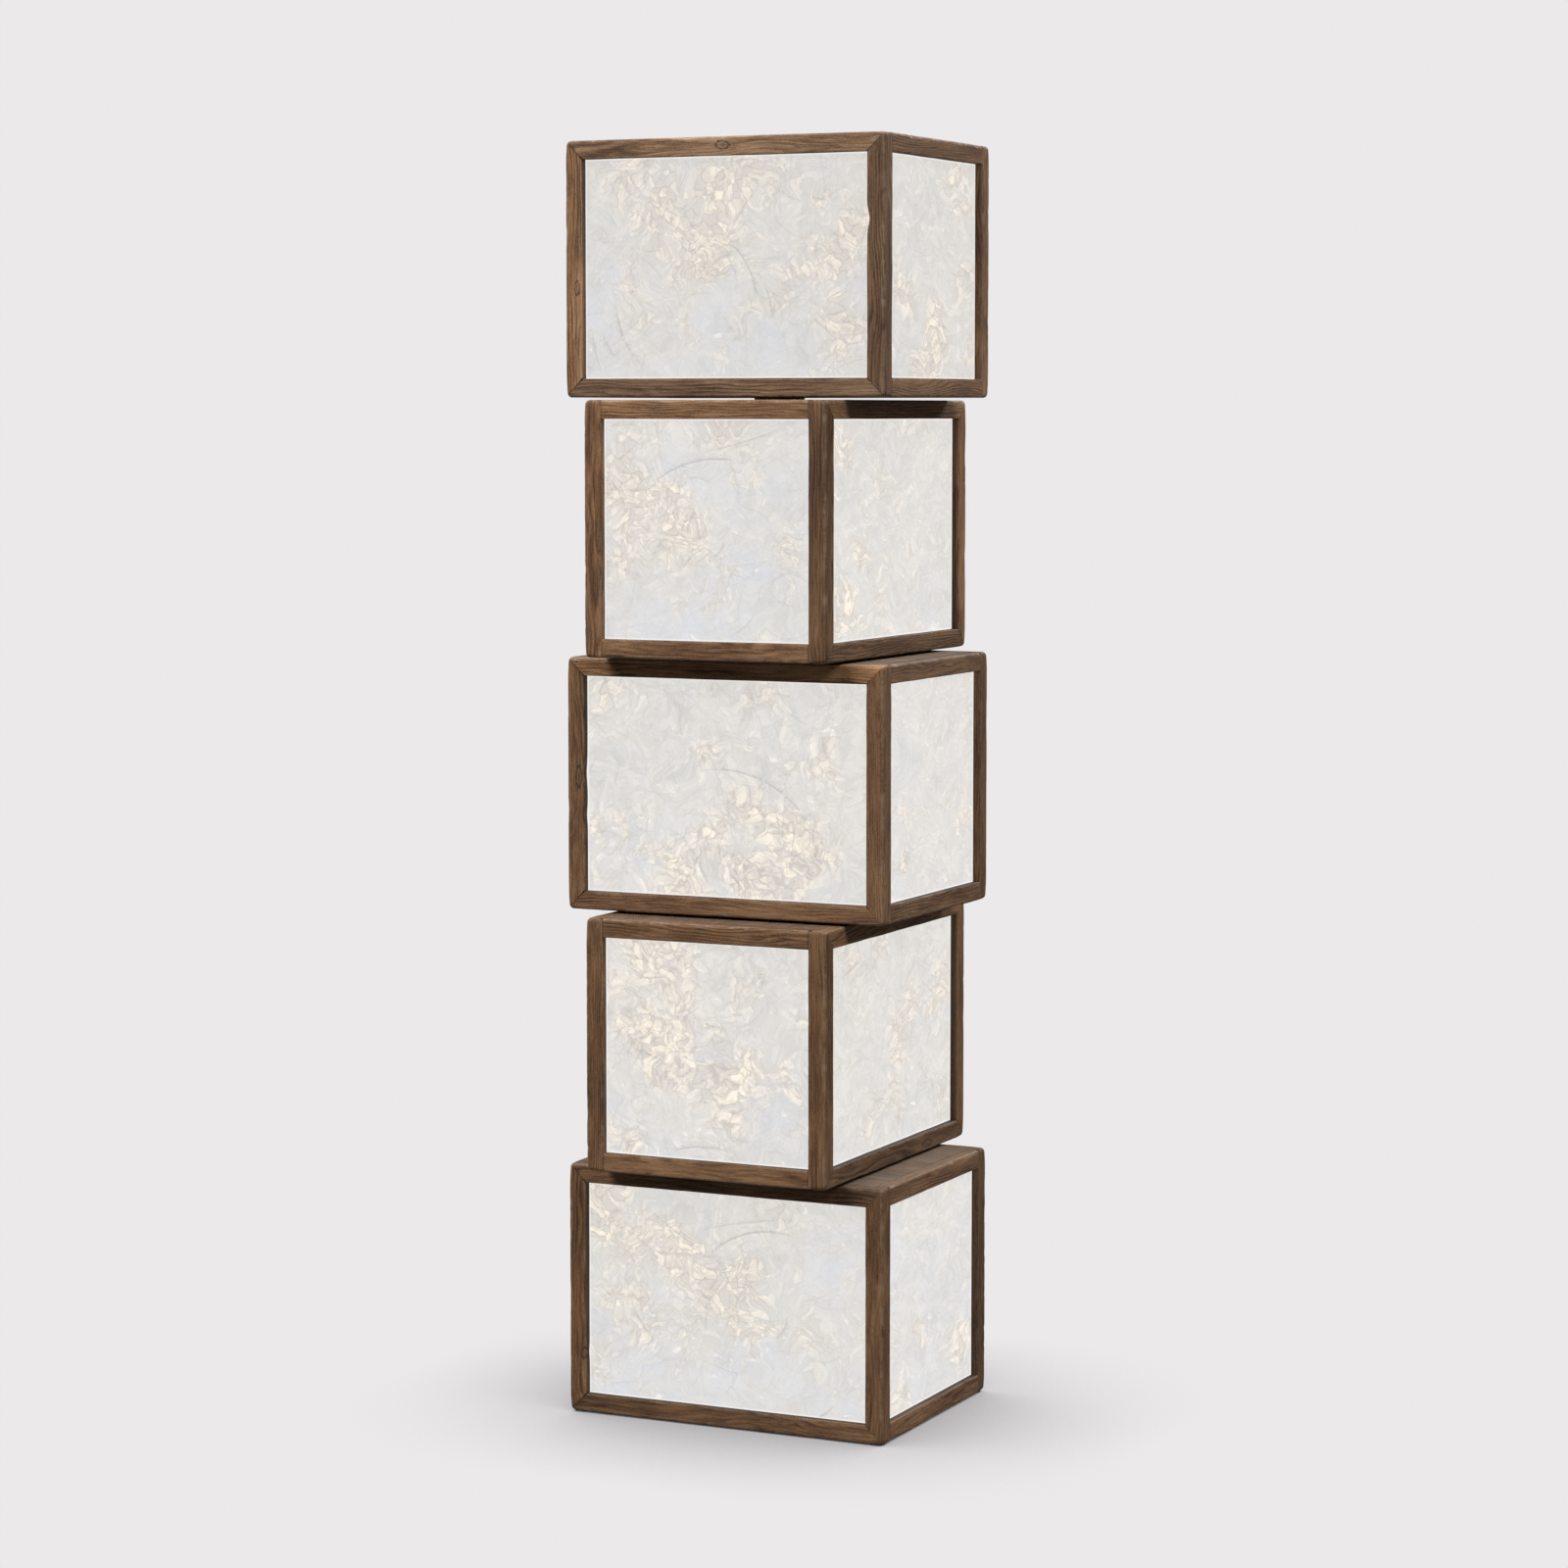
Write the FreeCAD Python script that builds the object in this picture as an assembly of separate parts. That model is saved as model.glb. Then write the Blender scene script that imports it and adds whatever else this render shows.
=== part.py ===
import FreeCAD, Part

import math
import os

os.makedirs("parts", exist_ok=True)

# Stack of boxes
box_count = 5
box_length = 410.0
box_width = 310.0
box_height = 300.0
box_gap = 3.0
turn_per_box_deg = 90.0

# Timber frame of one box
member = 22.0
arris_radius = 3.0
cut_overrun = 1.0

# Boards let into the top and the bottom of a box
board_thickness = 8.0
board_lap = 6.0
board_clearance = 0.3

# Paper panels, held in grooves of the frame or of the door sash
paper_thickness = 2.0
paper_recess = 9.5
paper_hold = 4.0
groove_side_clearance = 0.2
groove_end_clearance = 0.6

# Access door in the rear long face
door_lap = 6.0
door_gap = 1.0
door_recess = 1.5
door_stop_clearance = 0.5
sash_depth = 14.0
sash_width = 16.0
hollow_radius = 16.0
hollow_bite = 2.5
hollow_reach = 9.0
pivot_radius = 3.0
pivot_length = 5.0
pivot_clearance = 0.05
pivot_end_clearance = 0.5

# Centre pole, its nuts and the washers between the boxes
pole_radius = 10.0
pole_wall = 2.0
pole_clearance = 0.1
pole_socket_depth = 5.0
pole_end_clearance = 0.5
thread_clearance = 0.05
nut_flats = 32.0
nut_thickness = 5.0
nut_setback = 0.5
nut_pocket_clearance = 1.0
nut_sides = 6
washer_radius = 30.0

# Ballast plate in the lowest box
plate_length = 260.0
plate_width = 200.0
plate_thickness = 8.0
plate_corner_radius = 12.0

# Felt pads under the lowest posts
pad_radius = 9.0
pad_thickness = 1.5

# Bent arms that carry the lampholders
arm_height = 78.0
arm_reach = 55.0
arm_radius = 5.0
arm_wall = 1.25
arm_bend_radius = 12.0
arm_rise = 10.0
arm_clearance = 0.05
lead_radius = 2.2

# Lampholder and bulb
holder_radius = 17.0
holder_height = 42.0
holder_foot_radius = 9.0
holder_foot_height = 10.0
holder_edge_radius = 2.0
holder_grip = 8.0
socket_depth = 26.0
socket_clearance = 0.3
cap_radius = 13.0
neck_radius = 14.0
bulb_radius = 30.0
bulb_length = 106.0

# Terminal block on the ballast plate, and the flex from it up the pole
block_length = 32.0
block_width = 22.0
block_height = 16.0
block_edge_radius = 2.0
block_offset = 78.0
wire_hole_radius = 1.7
wire_hole_spacing = 10.0
wire_hole_depth = 12.0
riser_radius = 3.0
riser_start_run = 22.0
riser_climb = 45.0
riser_end_run = 12.0
riser_slot_clearance = 0.4
arc_share = 0.45

# Gland in the lowest box's left rail
gland_radius = 4.1
gland_bore_radius = 2.8
gland_flange_radius = 6.5
gland_flange_thickness = 2.0
gland_length = 14.0
gland_clearance = 0.05
gland_offset = 75.0

# Sizes that follow from those above
half_length = box_length / 2
half_width = box_width / 2
inner_half_length = half_length - member
inner_half_width = half_width - member
pole_bore_radius = pole_radius + pole_clearance
nut_bore_radius = pole_radius + thread_clearance
nut_corner_radius = nut_flats / 2 / math.cos(math.pi / nut_sides)
door_half_length = inner_half_length + door_lap - door_gap
door_low = member - door_lap + door_gap
door_high = box_height - door_low
door_back = half_width - door_recess
door_front = door_back - sash_depth
pivot_x = -door_half_length + sash_depth / 2
pivot_y = door_back - sash_depth / 2
gland_height = (board_thickness + member - paper_hold - groove_end_clearance) / 2

UP = FreeCAD.Vector(0, 0, 1)
ORIGIN = FreeCAD.Vector(0, 0, 0)
BACKWARD = FreeCAD.Vector(0, 1, 0)
SIDEWARD = FreeCAD.Vector(1, 0, 0)


def at(x, y, z):
    """A point or a direction."""
    return FreeCAD.Vector(x, y, z)


def block(low, high):
    """A rectangular block between two opposite corners."""
    size = high.sub(low)
    return Part.makeBox(size.x, size.y, size.z, low)


def rod(radius, start, direction, length):
    """A round bar from a start point along a direction."""
    return Part.makeCylinder(radius, length, start, direction)


def prism(corners, along):
    """A flat outline of straight sides carried along a vector."""
    outline = Part.makePolygon(corners + corners[:1])
    return Part.Face(outline).extrude(along)


def turned(points, axis_x):
    """A solid turned about the vertical line at axis_x from an outline of edges."""
    profile = Part.Face(Part.Wire(points))
    return profile.revolve(at(axis_x, 0, 0), UP)


def cut_all(solid, cutters):
    """A solid with every cutter taken out of it."""
    for cutter in cutters:
        solid = solid.cut(cutter)
    return solid.Solids[0]


def level_floor(level):
    """Height of the underside of a box, counted from zero at the lowest."""
    return pad_thickness + level * (box_height + box_gap)


def place(shape, level):
    """A box's piece turned to its storey's heading and lifted to its storey."""
    placed = shape.copy()
    placed.rotate(ORIGIN, UP, turn_per_box_deg * (level % 2))
    placed.translate(at(0, 0, level_floor(level)))
    return placed


def bent_path(corners):
    """Straight runs through the corners, joined by tangent arcs."""
    edges = []
    start = corners[0]
    for before, corner, after in zip(corners, corners[1:], corners[2:]):
        run_in = corner.sub(before)
        run_out = after.sub(corner)
        half_turn = run_in.getAngle(run_out) / 2
        setback = arc_share * min(run_in.Length, run_out.Length)
        radius = setback / math.tan(half_turn)
        towards = FreeCAD.Vector(run_in).normalize()
        away = FreeCAD.Vector(run_out).normalize()
        arc_start = corner.sub(towards * setback)
        arc_end = corner.add(away * setback)
        inward = away.sub(towards).normalize()
        middle = corner.add(inward * (radius / math.cos(half_turn) - radius))
        edges.append(Part.makeLine(start, arc_start))
        edges.append(Part.Arc(arc_start, middle, arc_end).toShape())
        start = arc_end
        print("bend radius", round(radius, 1))
    edges.append(Part.makeLine(start, corners[-1]))
    return Part.Wire(edges)


def tube_along(path, radius):
    """A round bar carried along a path."""
    first = path.Edges[0]
    heading = first.tangentAt(first.FirstParameter)
    ring = Part.makeCircle(radius, first.valueAt(first.FirstParameter), heading)
    return path.makePipeShell([Part.Wire(ring)], True, False)


def elbow(radius):
    """An arm's line, out along X and then up, as a bar of the given radius."""
    bend_x = arm_reach - arm_bend_radius
    bend_top = arm_height + arm_bend_radius
    diagonal = arm_bend_radius * math.sqrt(0.5)
    run = Part.makeLine(at(pole_radius - pole_wall, 0, arm_height), at(bend_x, 0, arm_height))
    middle = at(bend_x + diagonal, 0, bend_top - diagonal)
    bend = Part.Arc(at(bend_x, 0, arm_height), middle, at(arm_reach, 0, bend_top)).toShape()
    rise = Part.makeLine(at(arm_reach, 0, bend_top), at(arm_reach, 0, bend_top + arm_rise))
    return tube_along(Part.Wire([run, bend, rise]), radius)


# Timber frame

def rounded_box():
    """Outer envelope of a box with its arrises eased all round."""
    low = at(-half_length, -half_width, 0)
    high = at(half_length, half_width, box_height)
    envelope = block(low, high)
    return envelope.makeFillet(arris_radius, envelope.Edges).Solids[0]


def board_pocket(low_z, high_z):
    """Room for a board, a clearance wider than the board on its four edges."""
    reach_x = inner_half_length + board_lap + board_clearance
    reach_y = inner_half_width + board_lap + board_clearance
    return block(at(-reach_x, -reach_y, low_z), at(reach_x, reach_y, high_z))


def long_paper(side_room, end_room):
    """The front panel, or its groove when given room at its faces and ends."""
    reach = inner_half_length + paper_hold + end_room
    low_z = member - paper_hold - end_room
    near = -half_width + paper_recess - side_room
    far = -half_width + paper_recess + paper_thickness + side_room
    return block(at(-reach, near, low_z), at(reach, far, box_height - low_z))


def short_paper(side, side_room, end_room):
    """A side panel, or its groove when given room at its faces and ends."""
    reach = inner_half_width + paper_hold + end_room
    low_z = member - paper_hold - end_room
    outer = half_length - paper_recess + side_room
    inner = half_length - paper_recess - paper_thickness - side_room
    low_x = min(side * outer, side * inner)
    high_x = max(side * outer, side * inner)
    return block(at(low_x, -reach, low_z), at(high_x, reach, box_height - low_z))


def door_rebate():
    """Step in the rear face that the door closes into."""
    reach = inner_half_length + door_lap
    low_z = member - door_lap
    low_y = door_front - door_stop_clearance
    return block(at(-reach, low_y, low_z), at(reach, half_width + cut_overrun, box_height - low_z))


def pivot_hole(low_z, high_z):
    """Socket for one of the door's pivot pins."""
    hole_radius = pivot_radius + pivot_clearance
    return rod(hole_radius, at(pivot_x, pivot_y, low_z), UP, high_z - low_z)


def frame_cutters():
    """Everything that is cut out of the frame members of any box."""
    hole_end = pivot_length + pivot_end_clearance + door_gap
    return [
        board_pocket(-cut_overrun, board_thickness),
        board_pocket(box_height - board_thickness, box_height + cut_overrun),
        long_paper(groove_side_clearance, groove_end_clearance),
        short_paper(-1, groove_side_clearance, groove_end_clearance),
        short_paper(1, groove_side_clearance, groove_end_clearance),
        door_rebate(),
        pivot_hole(door_low - hole_end, door_low),
        pivot_hole(door_high, door_high + hole_end),
    ]


def post_blank(side_x, side_y):
    """A corner post, mitred at both ends in the long face."""
    outer = side_x * half_length
    inner = side_x * inner_half_length
    near = min(side_y * half_width, side_y * inner_half_width)
    corners = [
        at(outer, near, 0),
        at(outer, near, box_height),
        at(inner, near, box_height - member),
        at(inner, near, member),
    ]
    return prism(corners, at(0, member, 0))


def long_rail_blank(side_y, outer_z, inner_z):
    """A long rail with mitred ends, its long side at outer_z."""
    near = min(side_y * half_width, side_y * inner_half_width)
    corners = [
        at(-half_length, near, outer_z),
        at(half_length, near, outer_z),
        at(inner_half_length, near, inner_z),
        at(-inner_half_length, near, inner_z),
    ]
    return prism(corners, at(0, member, 0))


def short_rail_blank(side_x, low_z):
    """A short rail, butted between the two long faces."""
    low_x = min(side_x * half_length, side_x * inner_half_length)
    low = at(low_x, -inner_half_width, low_z)
    return block(low, low.add(at(member, 2 * inner_half_width, member)))


def finish_members(blanks):
    """Frame members trimmed to the eased envelope, grooved and rebated."""
    envelope = rounded_box()
    cutters = frame_cutters()
    return [cut_all(blank.common(envelope), cutters) for blank in blanks]


def make_posts():
    sides = [(x, y) for y in (-1, 1) for x in (-1, 1)]
    return finish_members([post_blank(x, y) for x, y in sides])


def make_long_rails():
    blanks = []
    for side in (-1, 1):
        blanks.append(long_rail_blank(side, 0, member))
        blanks.append(long_rail_blank(side, box_height, box_height - member))
    return finish_members(blanks)


def make_short_rails():
    blanks = []
    for side in (-1, 1):
        blanks.append(short_rail_blank(side, 0))
        blanks.append(short_rail_blank(side, box_height - member))
    return finish_members(blanks)


# Boards

def make_board(low_z):
    """A board with its bore for the pole."""
    reach_x = inner_half_length + board_lap
    reach_y = inner_half_width + board_lap
    high_z = low_z + board_thickness
    board = block(at(-reach_x, -reach_y, low_z), at(reach_x, reach_y, high_z))
    bore_start = at(0, 0, low_z - cut_overrun)
    bore_length = board_thickness + 2 * cut_overrun
    return board.cut(rod(pole_bore_radius, bore_start, UP, bore_length)).Solids[0]


def make_lid():
    """The highest board, with a blind socket for the pole's tip instead of a bore."""
    reach_x = inner_half_length + board_lap
    reach_y = inner_half_width + board_lap
    low_z = box_height - board_thickness
    board = block(at(-reach_x, -reach_y, low_z), at(reach_x, reach_y, box_height))
    socket_start = at(0, 0, low_z - cut_overrun)
    socket = rod(pole_bore_radius, socket_start, UP, pole_socket_depth + cut_overrun)
    return board.cut(socket).Solids[0]


def make_foot_board():
    """The lowest board, with a pocket below for the pole's foot nut."""
    pocket_radius = nut_corner_radius + nut_pocket_clearance
    pocket_depth = nut_setback + nut_thickness
    pocket = rod(pocket_radius, at(0, 0, -cut_overrun), UP, pocket_depth + cut_overrun)
    return make_board(0).cut(pocket).Solids[0]


# Access door

def make_sash():
    """Two stiles and two rails, the hinge stile round on its edge and pinned."""
    edge_radius = sash_depth / 2
    height = door_high - door_low
    inner_x = -door_half_length + sash_width
    stile_body = block(at(pivot_x, door_front, door_low), at(inner_x, door_back, door_high))
    round_edge = rod(edge_radius, at(pivot_x, pivot_y, door_low), UP, height)
    pin_reach = pivot_length + door_gap
    pin = rod(pivot_radius, at(pivot_x, pivot_y, door_low - pin_reach), UP, height + 2 * pin_reach)
    hinge_stile = stile_body.fuse([round_edge, pin]).removeSplitter()

    free_low = at(door_half_length - sash_width, door_front, door_low)
    free_stile = block(free_low, at(door_half_length, door_back, door_high))
    hollow_x = door_half_length + hollow_radius - hollow_bite
    hollow_start = at(hollow_x, door_back - hollow_reach, box_height / 2)
    hollow = rod(hollow_radius, hollow_start, BACKWARD, hollow_reach + cut_overrun)
    free_stile = free_stile.cut(hollow)

    rail_half = door_half_length - sash_width
    low_rail_top = door_low + sash_width
    high_rail_foot = door_high - sash_width
    low_rail = block(at(-rail_half, door_front, door_low), at(rail_half, door_back, low_rail_top))
    high_rail = block(at(-rail_half, door_front, high_rail_foot), at(rail_half, door_back, door_high))

    groove = door_paper(groove_side_clearance, groove_end_clearance)
    return [cut_all(piece, [groove]) for piece in (hinge_stile, free_stile, low_rail, high_rail)]


def door_paper(side_room, end_room):
    """The door's panel, or its groove when given room at its faces and ends."""
    reach = door_half_length - sash_width + paper_hold + end_room
    low_z = door_low + sash_width - paper_hold - end_room
    far = half_width - paper_recess + side_room
    near = half_width - paper_recess - paper_thickness - side_room
    return block(at(-reach, near, low_z), at(reach, far, box_height - low_z))


# Pole and what it carries

def pole_foot():
    return pad_thickness + nut_setback


def pole_tip():
    lid_underside = level_floor(box_count - 1) + box_height - board_thickness
    return lid_underside + pole_socket_depth - pole_end_clearance


def make_pole():
    """The tube, with a side hole for each arm and a slot for the flex."""
    height = pole_tip() - pole_foot()
    foot = at(0, 0, pole_foot())
    tube = rod(pole_radius, foot, UP, height)
    cutters = [rod(pole_radius - pole_wall, foot, UP, height)]
    for level in range(box_count):
        hole = rod(arm_radius + arm_clearance, at(0, 0, arm_height), SIDEWARD, arm_reach)
        cutters.append(place(hole, level))
    cutters.append(tube_along(riser_path(), riser_radius + riser_slot_clearance))
    return cut_all(tube, cutters)


def make_nut(low_z):
    """A flat hexagon nut round the pole."""
    corners = []
    for side in range(nut_sides):
        angle = 2 * math.pi * side / nut_sides
        x = nut_corner_radius * math.cos(angle)
        y = nut_corner_radius * math.sin(angle)
        corners.append(at(x, y, low_z))
    nut = prism(corners, at(0, 0, nut_thickness))
    return nut.cut(rod(nut_bore_radius, at(0, 0, low_z), UP, nut_thickness)).Solids[0]


def plate_foot():
    return pad_thickness + board_thickness


def plate_top():
    return plate_foot() + plate_thickness


def make_plate():
    """The ballast plate, round at its corners, with its bore for the pole."""
    low = at(-plate_length / 2, -plate_width / 2, plate_foot())
    plate = block(low, at(plate_length / 2, plate_width / 2, plate_top()))
    upright = [edge for edge in plate.Edges if abs(edge.tangentAt(0).z) > math.sqrt(0.5)]
    plate = plate.makeFillet(plate_corner_radius, upright).Solids[0]
    bore = rod(pole_bore_radius, at(0, 0, plate_foot()), UP, plate_thickness)
    return plate.cut(bore).Solids[0]


def make_washer(level):
    """The washer that lies on a box and carries the next."""
    foot = at(0, 0, level_floor(level) + box_height)
    disc = rod(washer_radius, foot, UP, box_gap)
    return disc.cut(rod(pole_bore_radius, foot, UP, box_gap)).Solids[0]


def make_pads():
    """The felt pads, one under each post of the lowest box."""
    centre_x = half_length - member / 2
    centre_y = half_width - member / 2
    places = [(x, y) for y in (-centre_y, centre_y) for x in (-centre_x, centre_x)]
    return [rod(pad_radius, at(x, y, 0), UP, pad_thickness) for x, y in places]


def make_arm():
    """A bent tube from the pole's side to the foot of a lampholder."""
    return elbow(arm_radius).cut(elbow(arm_radius - arm_wall)).Solids[0]


def make_lead():
    """The lead inside an arm, from the flex in the pole to the lampholder."""
    start = at(riser_radius, 0, arm_height)
    stub = rod(lead_radius, start, SIDEWARD, pole_radius - pole_wall - riser_radius)
    return stub.fuse(elbow(lead_radius)).removeSplitter().Solids[0]


def holder_foot():
    return arm_height + arm_bend_radius + arm_rise - holder_grip


def make_holder():
    """A lampholder: a foot that grips the arm, and a cup for the bulb's cap."""
    foot = holder_foot()
    body_foot = foot + holder_foot_height
    top = foot + holder_height
    foot_bar = rod(holder_foot_radius, at(arm_reach, 0, foot), UP, holder_foot_height)
    body = rod(holder_radius, at(arm_reach, 0, body_foot), UP, top - body_foot)
    body = body.makeFillet(holder_edge_radius, body.Edges[:1] + body.Edges[2:]).Solids[0]
    cup_radius = cap_radius + socket_clearance
    cup = rod(cup_radius, at(arm_reach, 0, top - socket_depth), UP, socket_depth + cut_overrun)
    grip_start = at(arm_reach, 0, foot - cut_overrun)
    grip = rod(arm_radius + arm_clearance, grip_start, UP, holder_grip + cut_overrun)
    return cut_all(body.fuse(foot_bar).removeSplitter(), [cup, grip])


def make_bulb():
    """A bulb: a straight cap, a flaring neck and a round envelope."""
    foot = holder_foot() + holder_height - socket_depth
    shoulder = foot + socket_depth
    top = foot + bulb_length
    globe = top - bulb_radius
    axis = arm_reach
    drop = globe - shoulder
    distance = math.hypot(neck_radius, drop)
    tilt = math.atan2(-drop, neck_radius)
    touch = tilt + math.acos(bulb_radius / distance)
    touch_point = at(axis + bulb_radius * math.cos(touch), 0, globe + bulb_radius * math.sin(touch))
    middle = (touch + math.pi / 2) / 2
    arc_middle = at(axis + bulb_radius * math.cos(middle), 0, globe + bulb_radius * math.sin(middle))
    outline = [
        at(axis, 0, foot),
        at(axis + cap_radius, 0, foot),
        at(axis + cap_radius, 0, shoulder),
        at(axis + neck_radius, 0, shoulder),
        touch_point,
    ]
    edges = [Part.makeLine(a, b) for a, b in zip(outline, outline[1:])]
    edges.append(Part.Arc(touch_point, arc_middle, at(axis, 0, top)).toShape())
    edges.append(Part.makeLine(at(axis, 0, top), outline[0]))
    return turned(edges, axis)


# Wiring

def riser_path():
    """From the terminal block, up in a slope to the pole's axis and up inside it."""
    low = plate_top() + block_height / 2
    start_x = -block_offset + block_length / 2
    highest = level_floor(box_count - 1) + arm_height + riser_end_run
    corners = [
        at(start_x, 0, low),
        at(start_x + riser_start_run, 0, low),
        at(0, 0, low + riser_climb),
        at(0, 0, highest),
    ]
    return bent_path(corners)


def make_terminal_block():
    """A small block with two wire holes, on the ballast plate."""
    low = at(-block_offset - block_length / 2, -block_width / 2, plate_top())
    body = block(low, low.add(at(block_length, block_width, block_height)))
    body = body.makeFillet(block_edge_radius, body.Edges).Solids[0]
    holes = []
    for side in (-1, 1):
        y = side * wire_hole_spacing / 2
        mouth = at(low.x, y, plate_top() + block_height / 2)
        holes.append(rod(wire_hole_radius, mouth, SIDEWARD, wire_hole_depth))
    return cut_all(body, holes)


def gland_hole(radius, start, length):
    """A bar along the gland's axis, from start inward."""
    mouth = at(-half_length + start, gland_offset, level_floor(0) + gland_height)
    return rod(radius, mouth, SIDEWARD, length)


def make_gland():
    """A flanged bush with the bore for a cord, let in flush with the rail."""
    body = gland_hole(gland_radius, 0, gland_length)
    flange = gland_hole(gland_flange_radius, 0, gland_flange_thickness)
    bore = gland_hole(gland_bore_radius, -cut_overrun, gland_length + 2 * cut_overrun)
    return cut_all(body.fuse(flange).removeSplitter(), [bore])


def drill_for_gland(rails):
    """The lowest box's short rails, with the gland's hole and seat in the left one."""
    hole = gland_hole(gland_radius + gland_clearance, -cut_overrun, member + 2 * cut_overrun)
    seat_depth = gland_flange_thickness + cut_overrun
    seat = gland_hole(gland_flange_radius + gland_clearance, -cut_overrun, seat_depth)
    return [cut_all(rail, [hole, seat]) for rail in rails]


def save(node, solids):
    """Write one node's solids to its file."""
    for solid in solids:
        if not solid.isValid():
            raise ValueError(node + " has an invalid solid")
    shape = solids[0] if len(solids) == 1 else Part.makeCompound(solids)
    shape.exportStep("parts/" + node + ".step")
    print(node, len(solids), round(shape.Volume, 1))


def save_box(level, shared):
    """Write every node that belongs to one box."""
    name = "box" + str(level + 1)
    lowest = level == 0
    highest = level == box_count - 1
    lid = make_lid() if highest else make_board(box_height - board_thickness)
    floor = make_foot_board() if lowest else make_board(0)
    pieces = dict(shared, top_board=[lid], bottom_board=[floor])
    for piece, solids in pieces.items():
        placed = [place(solid, level) for solid in solids]
        if lowest and piece == "short_rails":
            placed = drill_for_gland(placed)
        save(name + "_" + piece, placed)


shared_pieces = {
    "posts": make_posts(),
    "long_rails": make_long_rails(),
    "short_rails": make_short_rails(),
    "fixed_papers": [long_paper(0, 0), short_paper(-1, 0, 0), short_paper(1, 0, 0)],
    "door_sash": make_sash(),
    "door_paper": [door_paper(0, 0)],
    "lampholder": [make_holder()],
    "bulb": [make_bulb()],
}
for level in range(box_count):
    save_box(level, shared_pieces)

foot_nut = make_nut(pole_foot())
lock_nut = make_nut(plate_top())
save("centre_pole", [make_pole()])
save("base_plate", [make_plate()])
save("pole_nuts", [foot_nut, lock_nut])
save("spacer_washers", [make_washer(level) for level in range(box_count - 1)])
save("floor_pads", make_pads())
save("lamp_arms", [place(make_arm(), level) for level in range(box_count)])
save("lamp_leads", [place(make_lead(), level) for level in range(box_count)])
save("riser_flex", [tube_along(riser_path(), riser_radius)])
save("terminal_block", [make_terminal_block()])
save("cord_gland", [make_gland()])
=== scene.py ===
import itertools
import math

import bpy
import numpy as np
from bpy.props import FloatProperty, FloatVectorProperty, PointerProperty
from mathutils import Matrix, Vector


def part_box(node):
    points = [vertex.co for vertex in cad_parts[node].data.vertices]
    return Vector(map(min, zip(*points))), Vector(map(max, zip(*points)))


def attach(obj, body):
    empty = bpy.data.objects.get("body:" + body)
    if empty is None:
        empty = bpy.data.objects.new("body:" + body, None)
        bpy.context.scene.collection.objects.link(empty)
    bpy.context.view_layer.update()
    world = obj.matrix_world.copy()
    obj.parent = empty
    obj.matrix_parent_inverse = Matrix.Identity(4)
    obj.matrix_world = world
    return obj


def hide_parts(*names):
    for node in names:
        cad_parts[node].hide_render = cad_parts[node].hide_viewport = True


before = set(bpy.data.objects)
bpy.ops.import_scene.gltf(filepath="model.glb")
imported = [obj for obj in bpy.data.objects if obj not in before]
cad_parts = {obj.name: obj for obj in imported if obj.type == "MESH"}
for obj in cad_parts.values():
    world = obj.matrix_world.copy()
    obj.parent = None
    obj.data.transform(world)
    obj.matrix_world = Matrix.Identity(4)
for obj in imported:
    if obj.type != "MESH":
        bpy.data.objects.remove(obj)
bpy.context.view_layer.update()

bl_info = {
    "name": "Andon Floor Lamp",
    "version": (1, 0, 0),
    "blender": (4, 5, 0),
    "location": "View3D > Sidebar > Andon Lamp",
    "description": "Dresses the stacked paper-panelled box lamp in weathered wood and crinkled paper",
    "category": "Object",
}

BOX_COUNT = 5
LEVELS = range(BOX_COUNT)
TOP_LEVEL = BOX_COUNT - 1
MM = 0.001


def cad_box(node):
    """Lowest and highest corner of a CAD node as arrays."""
    low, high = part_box(node)
    return np.array(low), np.array(high)


# Sizes of a box, read off the lowest one, which stands square to the axes
POSTS_HIGH = cad_box("box1_posts")[1]
INNER_HIGH = cad_box("box1_short_rails")[1]
PAPERS_LOW = cad_box("box1_fixed_papers")[0]
RAILS_LOW, RAILS_HIGH = cad_box("box1_long_rails")
BOARD_LOW, BOARD_HIGH = cad_box("box1_bottom_board")
SASH_LOW, SASH_HIGH = cad_box("box1_door_sash")
DOOR_PAPER_LOW, DOOR_PAPER_HIGH = cad_box("box1_door_paper")

HALF_LENGTH = POSTS_HIGH[0]
HALF_WIDTH = POSTS_HIGH[1]
BASE_Z = RAILS_LOW[2]
BOX_HEIGHT = RAILS_HIGH[2] - BASE_Z
BOX_PITCH = cad_box("box2_long_rails")[0][2] - BASE_Z
INNER_HALF_WIDTH = INNER_HIGH[1]
MEMBER = HALF_WIDTH - INNER_HALF_WIDTH
INNER_HALF_LENGTH = HALF_LENGTH - MEMBER
RECESS = PAPERS_LOW[1] + HALF_WIDTH
PAPER_THICKNESS = DOOR_PAPER_HIGH[1] - DOOR_PAPER_LOW[1]
PAPER_HOLD = MEMBER - (PAPERS_LOW[2] - BASE_Z)
BOARD_THICKNESS = BOARD_HIGH[2] - BOARD_LOW[2]
BOARD_LAP = BOARD_HIGH[0] - INNER_HALF_LENGTH
SASH_DEPTH = SASH_HIGH[1] - SASH_LOW[1]
SASH_HALF_LENGTH = SASH_HIGH[0]
DOOR_FACE = SASH_HIGH[1]
DOOR_RECESS = HALF_WIDTH - DOOR_FACE
SASH_WIDTH = SASH_HALF_LENGTH - DOOR_PAPER_HIGH[0] + PAPER_HOLD
DOOR_LOW = (DOOR_PAPER_LOW[2] - BASE_Z) + PAPER_HOLD - SASH_WIDTH
DOOR_HIGH = BOX_HEIGHT - DOOR_LOW

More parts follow.
